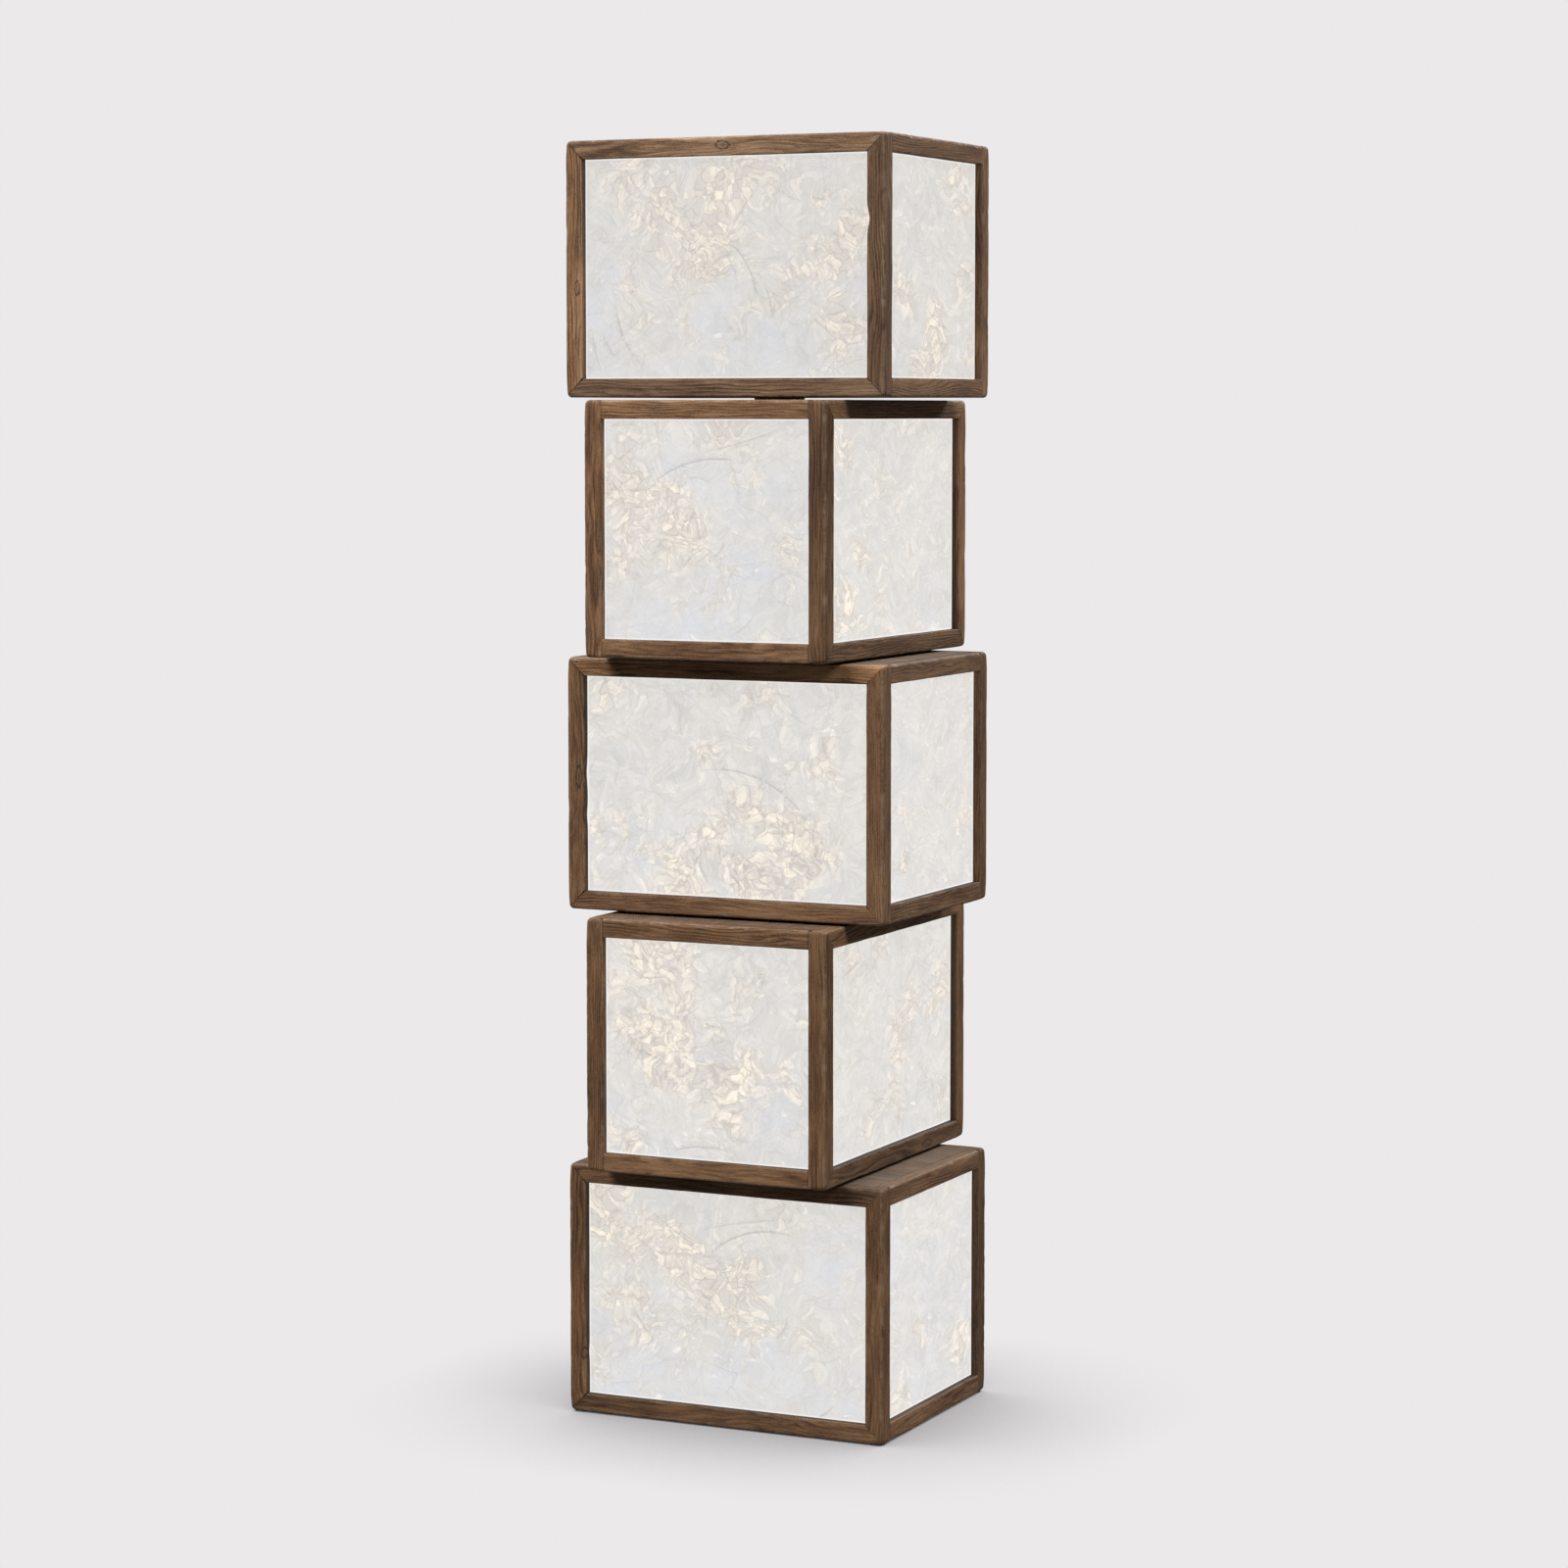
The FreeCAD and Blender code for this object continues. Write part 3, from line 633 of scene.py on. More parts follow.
def short_rail_piece(level):
    """The four short rails of a box, cut square and butted between the long faces."""
    piece = Piece("box%d_old_short_rails" % (level + 1))
    for side_x, upper in itertools.product((-1, 1), (False, True)):
        seed = 100 * level + 50 + side_x + 4 * upper
        made = stick(rail_section(False), -INNER_HALF_WIDTH, INNER_HALF_WIDTH, False, seed,
                     seams=SHORT_RAIL_SEAMS[level % 2])
        y, depth, rise = made[0].T
        local = np.column_stack([side_x * (HALF_LENGTH - depth), y,
                                 BOX_HEIGHT - rise if upper else rise])
        add_member(piece, level, made, local, seed,
                   SHORT_RAIL_LIGHTNESS.get((level, side_x, upper)))
    return piece


# The access door: its hinge edge, its finger hollow's radius, bite and reach, and its pins
HINGE_POINTS = 11
HOLLOW_RADIUS, HOLLOW_BITE, HOLLOW_REACH = 16 * MM, 2.5 * MM, 9 * MM
PIN_RADIUS, PIN_END, PIN_END_SHARE = 3.0 * MM, 0.4 * MM, 0.9
PIN_POINTS = 20


def sash_sections():
    """Sections of the hinge stile, whose edge is a half circle as thick as the sash, and of the
    other members, as depth from the sash's face and width from its outer edge."""
    paper_side = groove_side(SASH_WIDTH, RECESS - DOOR_RECESS)
    radius = SASH_DEPTH / 2
    arc = [(radius + radius * math.cos(angle), radius + radius * math.sin(angle), SHARP)
           for angle in np.linspace(math.pi, 2 * math.pi, HINGE_POINTS)]
    back = [(SASH_DEPTH, SASH_WIDTH, CRISP)]
    return arc + back + paper_side, [(0, 0, CRISP), (SASH_DEPTH, 0, CRISP)] + back + paper_side


def sash_piece(level):
    """The access door's frame: two stiles the door's full height, two rails between them,
    and the two pins it turns on."""
    piece = Piece("box%d_door_frame" % (level + 1))
    hinge_section, square_section = sash_sections()
    for side, section in ((-1, hinge_section), (1, square_section)):
        seed = 100 * level + 70 + side
        made = stick(section, DOOR_LOW, DOOR_HIGH, False, seed)
        z, depth, inset = made[0].T
        local = np.column_stack([side * (SASH_HALF_LENGTH - inset), DOOR_FACE - depth, z])
        if side > 0:
            hollow_out(local)
        add_member(piece, level, made, local, seed, eased=False)
    reach = SASH_HALF_LENGTH - SASH_WIDTH
    for upper in (False, True):
        seed = 100 * level + 80 + 4 * upper
        made = stick(square_section, -reach, reach, False, seed)
        x, depth, rise = made[0].T
        local = np.column_stack([x, DOOR_FACE - depth,
                                 DOOR_HIGH - rise if upper else DOOR_LOW + rise])
        add_member(piece, level, made, local, seed, eased=False)
    pin_low = SASH_LOW[2] - BASE_Z
    for low, high in ((pin_low, DOOR_LOW), (DOOR_HIGH, BOX_HEIGHT - pin_low)):
        points, faces = pin(low, high)
        add_member(piece, level, (points, faces, 0 * points), points, 100 * level + 90, eased=False)
    return piece


def hollow_out(local):
    """Pushes points inside the finger hollow, a cylinder that runs in from the sash's face at
    mid height, away from its axis to its wall."""
    centre = np.array([SASH_HALF_LENGTH + HOLLOW_RADIUS - HOLLOW_BITE, BOX_HEIGHT / 2])
    away = local[:, [0, 2]] - centre
    far = np.linalg.norm(away, axis=1)
    front = local[:, 1] > DOOR_FACE - HOLLOW_REACH
    inside = (far < HOLLOW_RADIUS) & front
    local[inside, 0] = centre[0] + away[inside, 0] * HOLLOW_RADIUS / np.maximum(far[inside], TINY)


def pin(low, high):
    """A round pin in the middle of the hinge edge, its ends slightly drawn in."""
    heights = np.array([low, low + PIN_END, high - PIN_END, high])
    radii = PIN_RADIUS * np.array([PIN_END_SHARE, 1.0, 1.0, PIN_END_SHARE])
    axis = (-SASH_HALF_LENGTH + SASH_DEPTH / 2, DOOR_FACE - SASH_DEPTH / 2, 0.0)
    return turned_profile(radii, heights, PIN_POINTS) + axis, tube_faces(len(radii), PIN_POINTS)


# Paper panels. A panel is named by its storey and its place in the photograph's view
FLAT_RIM = 10 * MM
# The crumple: how many folds, their lengths in millimetres, and how far noise pushes them
FOLDS, FOLD_LENGTHS = 12, (16, 60)
PUSH_CELL, PUSH = 45 * MM, 16 * MM
# How far a clump spreads, how fast clumps fill up, and the random clumps of an unseen panel
CLUMP_SPREAD, CLUMP_GAIN = 1.35, 1.3
RANDOM_CLUMPS, CLUMPS_FROM, CLUMPS_TO = 11, (0.05, 0.05, 0.06, 0.4), (0.95, 0.95, 0.11, 1.0)
# The scattered creases: one for each square of this size, their lengths in millimetres, how
# much they bow, their strengths, and how far they start from a panel's edge
SCATTER_CELL, SCATTER_LENGTHS = 30 * MM, (12, 55)
SCATTER_BOW, SCATTER_STRENGTHS = 0.14, (0.08, 0.36)
SCATTER_MARGIN_SHARE = 0.02
# How far a crease is felt, the share of its length over which it fades, and its least bow
CREASE_REACH, CREASE_FADE_SHARE, LEAST_BOW = 6 * MM, 0.22, 0.01
FAR_AWAY = 20 * MM
# How far a panel's folds are drawn out, upright above zero and across below it
RIGHT_STREAKS, DOOR_STREAKS = -0.35, 0.15
# Where the light shines through most, in percent: the place in a panel's width and height, the
# spread as a part of the height, and the strength
CLUMP_SHARES = {
    (4, "long"): [(22, 88, 11, 80), (30, 70, 10, 70), (49, 79, 12, 100), (58, 97, 8, 80),
                  (71, 90, 7, 60), (38, 54, 9, 100), (47, 50, 6, 90), (46, 63, 6, 80),
                  (80, 57, 7, 60), (88, 53, 6, 90), (95, 66, 9, 100), (86, 33, 6, 90),
                  (93, 24, 8, 100), (16, 36, 9, 50), (66, 35, 6, 50), (56, 23, 7, 50),
                  (84, 8, 7, 50), (73, 45, 7, 40)],
    (3, "short"): [(6, 72, 9, 100), (13, 64, 8, 100), (24, 62, 6, 90), (31, 52, 7, 100),
                   (41, 63, 6, 90), (43, 48, 7, 100), (42, 40, 6, 60), (10, 44, 9, 60),
                   (6, 32, 8, 40), (57, 91, 7, 80), (68, 93, 6, 60), (21, 86, 8, 50),
                   (84, 44, 8, 60), (55, 24, 9, 50), (68, 76, 6, 50)],
    (2, "long"): [(56, 46, 8, 90), (69, 36, 6, 90), (73, 29, 8, 100), (79, 22, 8, 100),
                  (76, 15, 7, 90), (56, 14, 9, 100), (62, 8, 8, 100), (29, 10, 8, 90),
                  (37, 6, 6, 80), (43, 26, 8, 80), (25, 30, 6, 40), (8, 27, 10, 50),
                  (42, 64, 7, 50), (83, 65, 9, 50), (7, 91, 8, 50), (59, 88, 7, 40)],
    (1, "short"): [(18, 91, 8, 100), (31, 90, 8, 100), (41, 77, 6, 90), (5, 77, 4, 80),
                   (15, 59, 8, 100), (28, 61, 8, 100), (30, 50, 8, 100), (35, 41, 8, 90),
                   (57, 34, 8, 90), (67, 41, 8, 90), (50, 56, 8, 50), (83, 44, 4, 80),
                   (58, 16, 8, 60), (8, 6, 9, 80), (95, 38, 6, 60), (68, 79, 8, 40)],
    (0, "long"): [(5, 89, 9, 100), (5, 78, 8, 100), (13, 71, 8, 80), (24, 74, 8, 80),
                  (30, 72, 8, 90), (35, 64, 7, 100), (45, 65, 6, 100), (50, 53, 8, 100),
                  (57, 64, 6, 90), (59, 45, 7, 90), (58, 36, 7, 70), (22, 35, 8, 80),
                  (13, 42, 8, 60), (38, 44, 8, 50), (68, 93, 8, 60), (83, 40, 8, 50),
                  (5, 15, 8, 40)],
    (4, "right"): [(51, 16, 10, 100), (58, 24, 8, 90), (37, 6, 6, 90), (4, 15, 5, 90),
                   (95, 13, 6, 70), (26, 38, 7, 70), (15, 46, 6, 60), (84, 44, 8, 70),
                   (75, 88, 12, 70)],
    (3, "right"): [(15, 18, 9, 100), (7, 7, 5, 80), (26, 41, 6, 70), (64, 40, 5, 70),
                   (15, 87, 8, 80), (42, 75, 6, 50), (42, 19, 5, 60)],
    (2, "right"): [(82, 32, 8, 60), (21, 37, 7, 40), (26, 19, 8, 50), (88, 78, 6, 40)],
    (1, "right"): [(19, 91, 8, 80), (41, 94, 7, 80), (88, 66, 10, 100), (68, 67, 7, 80),
                   (55, 50, 9, 100), (38, 19, 8, 80), (55, 24, 7, 80), (89, 13, 5, 70)],
    (0, "right"): [(86, 23, 9, 70), (14, 33, 7, 50), (21, 7, 7, 70), (38, 31, 6, 40)],
}
# Long creases that stand out, in percent: start and end in a panel's width and height, how far
# the arc bows to the left of its heading as a part of its length, and its strength
LONG_CREASES = {
    (4, "long"): [(62, 86, 49, 57, -5, 70), (51, 61, 60.5, 33, 12, 100), (63, 43, 66, 26, 5, 70),
                  (49, 57, 54, 45, 5, 70), (18, 56, 29, 42, 10, 40), (79, 79, 85, 78, 0, 70),
                  (64, 88, 76, 78, -8, 50), (77, 28, 92, 15, 3, 50), (73.5, 23, 79, 9, -8, 50),
                  (48, 57, 37, 57, 10, 40)],
    (3, "short"): [(22, 68, 68, 79, 13, 100), (48, 84, 86, 95, -2, 60),
                   (38, 71.5, 52, 70, 15, 60), (38, 48, 48, 58, 20, 80),
                   (49, 42, 38, 32, -10, 60), (1, 67, 21, 67, 0, 60), (52, 34, 86, 39, -3, 40),
                   (2, 34, 21, 28, 5, 40)],
    (2, "long"): [(39, 57, 78, 37, 15, 100), (50, 13, 56.5, 2, 10, 80), (30, 32, 43, 4, 12, 60),
                  (54, 28, 49, 14, 5, 50), (2, 80, 8, 71, 0, 40)],
    (1, "short"): [(14, 80, 32, 82, 2, 60), (23, 72, 40, 67, 10, 40), (9, 61, 31, 45, -15, 60),
                   (29, 3, 65, 5, 9, 80), (54, 11, 73, 11, 0, 40), (36, 47, 48, 53, 5, 40)],
    (0, "long"): [(42, 67, 74.5, 81, 15, 100), (20, 91, 42, 71, -2, 60),
                  (39, 80, 74.5, 89, 3, 50), (42, 57, 42, 32, 3, 60), (53, 45, 58, 57, 15, 70),
                  (49, 58, 60, 56, 10, 50), (17, 44, 23, 31, -8, 60), (30, 38, 41, 31, 0, 40)],
}
# How much light a panel lets through, against the front panel of the highest box, and how far
# its smooth parts lean from the cool tone to the plain one
PANEL_TONES = {
    (4, "long"): (1.0, 0.03), (4, "right"): (1.01, 0.10), (3, "short"): (1.035, 0.04),
    (3, "right"): (1.06, 0.04), (2, "long"): (1.035, 0.14), (2, "right"): (1.08, 0.03),
    (1, "short"): (1.035, 0.05), (1, "right"): (1.07, 0.0), (0, "long"): (1.04, 0.03),
    (0, "right"): (1.08, -0.10),
}
UNSEEN_TONE = (1.03, 0.03)


def crumple_height(u, v, seed):
    """Folded relief: the sum of triangle waves of random heading, length and phase, over
    places that smooth noise has pushed about, so the ridges bend and break. Its mean is zero
    and its greatest height or depth is one."""
    rng = np.random.default_rng(seed)
    flat = spread(u, v, seed * 0.37)
    pushed_u = u + lattice_noise(flat, PUSH_CELL, seed) * PUSH
    pushed_v = v + lattice_noise(flat, PUSH_CELL, seed + 1) * PUSH
    total = np.zeros_like(u)
    for _ in range(FOLDS):
        heading = rng.uniform(0.0, math.pi)
        length = rng.uniform(*FOLD_LENGTHS) * MM
        phase = rng.uniform(0.0, 1.0)
        run = (pushed_u * math.cos(heading) + pushed_v * math.sin(heading)) / length + phase
        total += np.abs(run - np.floor(run) - 0.5) * length
    total -= total.mean()
    return total / np.abs(total).max()


def clump_glow(key, u, v, width, height, seed):
    """Bells at the panel's clumps, summed to s and held below 1 as 1 - exp(-CLUMP_GAIN * s).
    An unseen panel gets random clumps."""
    if key in CLUMP_SHARES:
        clumps = np.array(CLUMP_SHARES[key]) / 100
    else:
        rng = np.random.default_rng(seed + 77)
        clumps = rng.uniform(CLUMPS_FROM, CLUMPS_TO, (RANDOM_CLUMPS, 4))
    glow = np.zeros_like(u)
    for place_u, place_v, spread, strength in clumps:
        far = (u - place_u * width) ** 2 + (v - place_v * height) ** 2
        glow += strength * np.exp(-far / (CLUMP_SPREAD * spread * height) ** 2)
    return 1.0 - np.exp(-CLUMP_GAIN * glow)


def crease_field(u, v, key, width, height, seed, streaks):
    """Signed distance to the nearest crease and that crease's strength. A crease is an arc of
    a circle through its two ends: the distance is that to the circle's centre less its radius,
    and the strength fades towards both ends. Short ones are scattered among the long ones."""
    rng = np.random.default_rng(seed + 300)
    size = np.array([width, height])
    arcs = [np.array(row) / 100 * (width, height, width, height, 1, 1)
            for row in LONG_CREASES.get(key, ())]
    lean = rng.uniform(0.0, math.pi)
    for _ in range(int(width * height / SCATTER_CELL ** 2)):
        heading = lean + rng.normal(0.0, 0.9 - 0.5 * streaks)
        run = rng.uniform(*SCATTER_LENGTHS) * MM
        start = rng.uniform(SCATTER_MARGIN_SHARE * size, (1 - SCATTER_MARGIN_SHARE) * size)
        stop = start + run * np.array([math.cos(heading), math.sin(heading)])
        arcs.append((*start, *stop, rng.normal(0.0, SCATTER_BOW), rng.uniform(*SCATTER_STRENGTHS)))
    nearest, signed, force = np.ones_like(u), np.ones_like(u), np.zeros_like(u)
    for x0, y0, x1, y1, bow, strength in arcs:
        run = math.hypot(x1 - x0, y1 - y0)
        ahead = np.array([x1 - x0, y1 - y0]) / run
        left = np.array([-ahead[1], ahead[0]])
        bow = bow if abs(bow) > LEAST_BOW else LEAST_BOW
        radius = run * (0.25 + bow * bow) / (2 * abs(bow))
        middle = np.array([x0 + x1, y0 + y1]) / 2 + left * (bow * run - math.copysign(radius, bow))
        distance = np.hypot(u - middle[0], v - middle[1]) - radius
        share = ((u - x0) * ahead[0] + (v - y0) * ahead[1]) / run
        fade = np.clip(np.minimum(share, 1 - share) / CREASE_FADE_SHARE, 0.0, 1.0)
        weight = np.abs(distance) + CREASE_REACH * (1 - fade)
        closer = (weight < nearest) & (fade > 0)
        nearest = np.where(closer, weight, nearest)
        signed = np.where(closer, distance, signed)
        force = np.where(closer, strength * fade, force)
    force = force * np.clip(1.5 - np.abs(signed) / CREASE_REACH, 0.0, 1.0)
    return np.clip(signed, -FAR_AWAY, FAR_AWAY), force


def sheet_faces(rows, columns):
    """Quads of two grids of points, back and front, with the wall that joins their rims."""
    count = rows * columns
    grid = grid_faces(rows, columns, False)
    rim = np.concatenate([np.arange(columns), np.arange(1, rows) * columns + columns - 1,
                          np.arange(columns - 2, -1, -1) + (rows - 1) * columns,
                          np.arange(rows - 2, 0, -1) * columns])
    after = np.roll(rim, -1)
    walls = np.stack([rim, rim + count, after + count, after], axis=1)
    return np.concatenate([grid[:, ::-1], grid + count, walls[:, ::-1]])


def add_panel(piece, level, side, low, high, seed, streaks):
    """A panel in a plane square to one axis: two grids of points a sheet's thickness apart,
    both raised by the crumple, which fades to nothing where the grooves hold the sheet. Its
    point values are the place on the sheet, the clumps' glow, the creases and its tone."""
    paper = settings("lamp_paper")
    thin = int(np.argmin(np.subtract(high, low)))
    wide = 1 - thin
    width, height = high[wide] - low[wide], high[2] - low[2]
    columns, rows = int(width / paper.grid) + 1, int(height / paper.grid) + 1
    u, v = np.meshgrid(np.linspace(0.0, width, columns), np.linspace(0.0, height, rows))
    from_rim = np.minimum(np.minimum(u, width - u), np.minimum(v, height - v)) - PAPER_HOLD
    relief = crumple_height(u, v, seed) * paper.crumple * np.clip(from_rim / FLAT_RIM, 0.0, 1.0)
    middle, half = (low[thin] + high[thin]) / 2, (high[thin] - low[thin]) / 2
    sheets = np.zeros((2, rows, columns, 3))
    sheets[..., wide] = low[wide] + u
    sheets[..., thin] = middle + np.array([-half, half])[:, None, None] + relief
    sheets[..., 2] = low[2] + v

    # Seen from outside, a panel's first side is on the left
    flipped = (thin == 0 and middle < 0) or (thin == 1 and middle > 0)
    across = width - u if flipped else u
    key = (level, side)
    light, warmth = PANEL_TONES.get(key, UNSEEN_TONE)
    signed, force = crease_field(across, v, key, width, height, seed, streaks)
    glow = clump_glow(key, across, v, width, height, seed)
    values = {"warmth": np.full(2 * u.size, warmth)}
    for name, parts in (("sheet", (across, v, seed * 0.731)), ("marks", (glow, streaks, from_rim)),
                        ("crease", (signed, force, light))):
        values[name] = np.tile(spread(*parts).reshape(-1, 3), (2, 1))
    piece.add(to_storey(sheets.reshape(-1, 3), level), sheet_faces(rows, columns), [], values)


def fixed_paper_piece(level):
    """The front panel and the two side panels of a box."""
    piece = Piece("box%d_washi_panels" % (level + 1))
    near, far = RECESS, RECESS + PAPER_THICKNESS
    low_z = MEMBER - PAPER_HOLD
    width_x = (-INNER_HALF_LENGTH - PAPER_HOLD, INNER_HALF_LENGTH + PAPER_HOLD)
    width_y = (-INNER_HALF_WIDTH - PAPER_HOLD, INNER_HALF_WIDTH + PAPER_HOLD)
    spans = ((width_x, (near - HALF_WIDTH, far - HALF_WIDTH)),
             ((near - HALF_LENGTH, far - HALF_LENGTH), width_y),
             ((HALF_LENGTH - far, HALF_LENGTH - near), width_y))
    sides = ("right", "short", "far") if level % 2 else ("long", "left", "right")
    for index, (side, (span_x, span_y)) in enumerate(zip(sides, spans), 1):
        low, high = zip(span_x, span_y, (low_z, BOX_HEIGHT - low_z))
        add_panel(piece, level, side, low, high, 10 * level + index,
                  RIGHT_STREAKS if side == "right" else 0.0)
    return piece


def door_paper_piece(level):
    """The panel in the access door."""
    piece = Piece("box%d_door_washi" % (level + 1))
    reach = SASH_HALF_LENGTH - SASH_WIDTH + PAPER_HOLD
    low_z = DOOR_LOW + SASH_WIDTH - PAPER_HOLD
    add_panel(piece, level, "door", (-reach, HALF_WIDTH - RECESS - PAPER_THICKNESS, low_z),
              (reach, HALF_WIDTH - RECESS, BOX_HEIGHT - low_z), 10 * level + 4, DOOR_STREAKS)
    return piece


# Finishes

class Signal:
    """A number, vector or colour on its way through a material. +, -, * and abs() put a math
    node behind it, as Finish.math says."""

    def __init__(self, finish, socket):
        self.finish = finish
        self.socket = socket

    def __add__(self, other):
        return self.finish.math("ADD", self, other)

    def __sub__(self, other):
        return self.finish.math("SUBTRACT", self, other)

    def __rsub__(self, other):
        return self.finish.math("SUBTRACT", other, self)

    def __mul__(self, other):
        return self.finish.math("MULTIPLY", self, other)

    def __abs__(self):
        return self.finish.math("ABSOLUTE", self)

    def ramp(self, low, high, shape="SMOOTHSTEP"):
        """This value carried from 0 at low to 1 at high."""
        inputs = {"Value": self, "From Min": low, "From Max": high}
        return self.finish.signal("MapRange", inputs, interpolation_type=shape)

    def noise(self, scale, detail=2.0, roughness=0.5, output="Fac"):
        """Noise at this place. Three scales draw it out along the axis of the least."""
        place, scale = (self * scale, 1.0) if isinstance(scale, tuple) else (self, scale)
        inputs = {"Vector": place, "Scale": scale, "Detail": detail, "Roughness": roughness}
        return self.finish.signal("TexNoise", inputs, output)

    def wander(self, scale):
        """Three noises about zero."""
        return self.noise(scale, output="Color") - (0.5, 0.5, 0.5)

    def parts(self):
        """The three numbers of this vector."""
        split = self.finish.node("SeparateXYZ", {0: self})
        return [Signal(self.finish, socket) for socket in split.outputs]


class Finish:
    """A material's node tree, filled in one node at a time."""

    def __init__(self, name):
        self.material = bpy.data.materials.new(name)
        self.material.use_nodes = True
        self.tree = self.material.node_tree
        self.tree.nodes.clear()

    def node(self, kind, inputs=None, **options):
        """A new node with its options set and its inputs linked or given values."""
        made = self.tree.nodes.new("ShaderNode" + kind)
        for key, value in options.items():
            setattr(made, key, value)
        for key, value in (inputs or {}).items():
            socket = made.inputs[key]
            if isinstance(value, Signal):
                self.tree.links.new(value.socket, socket)
            else:
                socket.default_value = (*value, 1.0) if socket.type == "RGBA" else value
        return made

    def signal(self, kind, inputs=None, output=0, **options):
        """One output of a new node."""
        return Signal(self, self.node(kind, inputs, **options).outputs[output])

    def value(self, name, output="Vector"):
        """A point value of the mesh."""
        return self.signal("Attribute", output=output, attribute_name=name)

    def place(self):
        """The point's place on the object."""
        return self.signal("TexCoord", output="Object")

    def math(self, operation, *terms, output=0):
        """A math node over the terms, or a vector math node where one of them is a vector."""
        numbers = all(term.socket.type == "VALUE" for term in terms if isinstance(term, Signal))
        kind = "Math" if numbers else "VectorMath"
        return self.signal(kind, dict(enumerate(terms)), output, operation=operation)

    def mix(self, factor, first, second, blend="MIX"):
        """Two colours mixed by a factor."""
        inputs = {0: factor, 6: first, 7: second}
        return self.signal("Mix", inputs, 2, data_type="RGBA", blend_type=blend)

    def tint(self, tone, by):
        """A colour multiplied by another."""
        return self.mix(1.0, tone, by, "MULTIPLY")

    def grey(self, value):
        """A number as a grey."""
        return self.signal("CombineColor", {0: value, 1: value, 2: value})

    def bump(self, height, strength, distance):
        """The normal tilted by a height."""
        return self.signal("Bump", {"Strength": strength, "Distance": distance, "Height": height})

    def surface(self, inputs):
        """The surface shader and the output."""
        shader = self.node("BsdfPrincipled", inputs)
        self.node("OutputMaterial", {"Surface": Signal(self, shader.outputs[0])})
        return self.material


# Tones of the wood: its pores, knots and seams, the seams' dark also painting the shade on the
# paper-side reveals, and what reddens, dusts and dulls it
WHITE = (1.0, 1.0, 1.0)
PORE_TONE = (0.016, 0.010, 0.006)
KNOT_TONE = (0.020, 0.011, 0.006)
SEAM_AND_SHADE_TONE = (0.016, 0.009, 0.005)
RED_TINT = (1.12, 0.955, 0.77)
DUST_TINT = (0.68, 0.73, 0.81)
BOARD_TINT = (0.69, 0.67, 0.67)
# Where a board lies in its log, and how deep the grain is
BOARD_HEART = (0.3, 0.11, 0.07)
GRAIN_DEPTH = 0.4 * MM


def wood_surface(grain):
    """Weathered grain. The distance from the stick's heart, pushed about by noise drawn out
    along the stick, is cut into growth rings, each darkening towards its outer side. Fine
    fibres, broad stains and short dark pores lie over them. Gives the colour and the height."""
    wood = settings("lamp_wood")
    finish = grain.finish
    bent = grain + grain.wander((5.0, 30.0, 30.0)) * (0.0, 0.026, 0.026)
    bent = bent + grain.wander((26.0, 130.0, 130.0)) * (0.0, 0.0035, 0.0035)
    heart = finish.math("LENGTH", bent * (0.0, 1.0, 1.0), output="Value")
    ring = finish.math("FRACT", heart * (1.0 / GROWTH_RING))
    late = ring.ramp(0.15, 0.80) * (1.0 - ring.ramp(0.82, 1.0))
    late = late * (grain.noise((6.0, 50.0, 50.0)).ramp(0.36, 0.62) * 0.75 + 0.25)
    fibre = bent.noise((20.0, 560.0, 560.0), 5.0, 0.68)
    stain = bent.noise((8.0, 36.0, 36.0), 3.0, 0.55)
    pits = grain.noise(520.0, 2.0, 0.6)
    blend = (fibre - 0.5) * 1.15 + (stain - 0.5) * 0.95 + (pits - 0.5) * 0.35 - late * 0.30 + 0.56
    tone = finish.mix(blend.ramp(0.16, 0.48, "LINEAR"), wood.dark, wood.middle)
    tone = finish.mix(blend.ramp(0.46, 0.84, "LINEAR"), tone, wood.light)
    pores = bent.noise((75.0, 900.0, 900.0)).ramp(0.62, 0.74) * 0.55
    tone = finish.mix(pores, tone, PORE_TONE)
    return tone, fibre * 0.7 - late * 0.35 - pores


def stick_finish(name):
    """Wood of the frames, with rubbed arrises, knots, dark seams and painted shade on the paper-side
    reveals, greyed by dust where it faces up."""
    wood = settings("lamp_wood")
    finish = Finish(name)
    grain = finish.value("grain")
    # The third mark holds the dark seams and the painted shade on the paper-side reveals
    rub, knot, seam = finish.value("marks").parts()
    lightness, redness, _ = finish.value("shade").parts()
    tone, height = wood_surface(grain)
    tone = finish.tint(tone, finish.mix(redness, WHITE, RED_TINT))
    tone = finish.tint(tone, finish.grey(lightness * 0.95 + 0.55))
    patchy = grain.noise(90.0, 3.0, 0.6).ramp(0.30, 0.66)
    tone = finish.mix(rub * patchy * 0.50, tone, wood.worn)
    eye = (grain.noise((160.0, 420.0, 420.0), 3.0, 0.6) - 0.5) * 0.55 + knot
    outline = eye.ramp(0.10, 0.24) * (1.0 - eye.ramp(0.30, 0.52)) * 0.80
    pith = eye.ramp(0.55, 0.95) * 0.45
    tone = finish.mix(finish.math("MAXIMUM", outline, pith), tone, KNOT_TONE)
    # Dark seams, and the painted shade on the paper-side reveals
    tone = finish.mix(seam * 0.86, tone, SEAM_AND_SHADE_TONE)
    upward = finish.signal("NewGeometry", output="Normal").parts()[2]
    tone = finish.mix(upward.ramp(0.75, 0.97) * 0.85, tone, finish.tint(tone, DUST_TINT))
    return finish.surface({"Base Color": tone, "Roughness": height * -0.2 + 0.76,
                           "Specular IOR Level": 0.28,
                           "Normal": finish.bump(height, 0.6, GRAIN_DEPTH)})


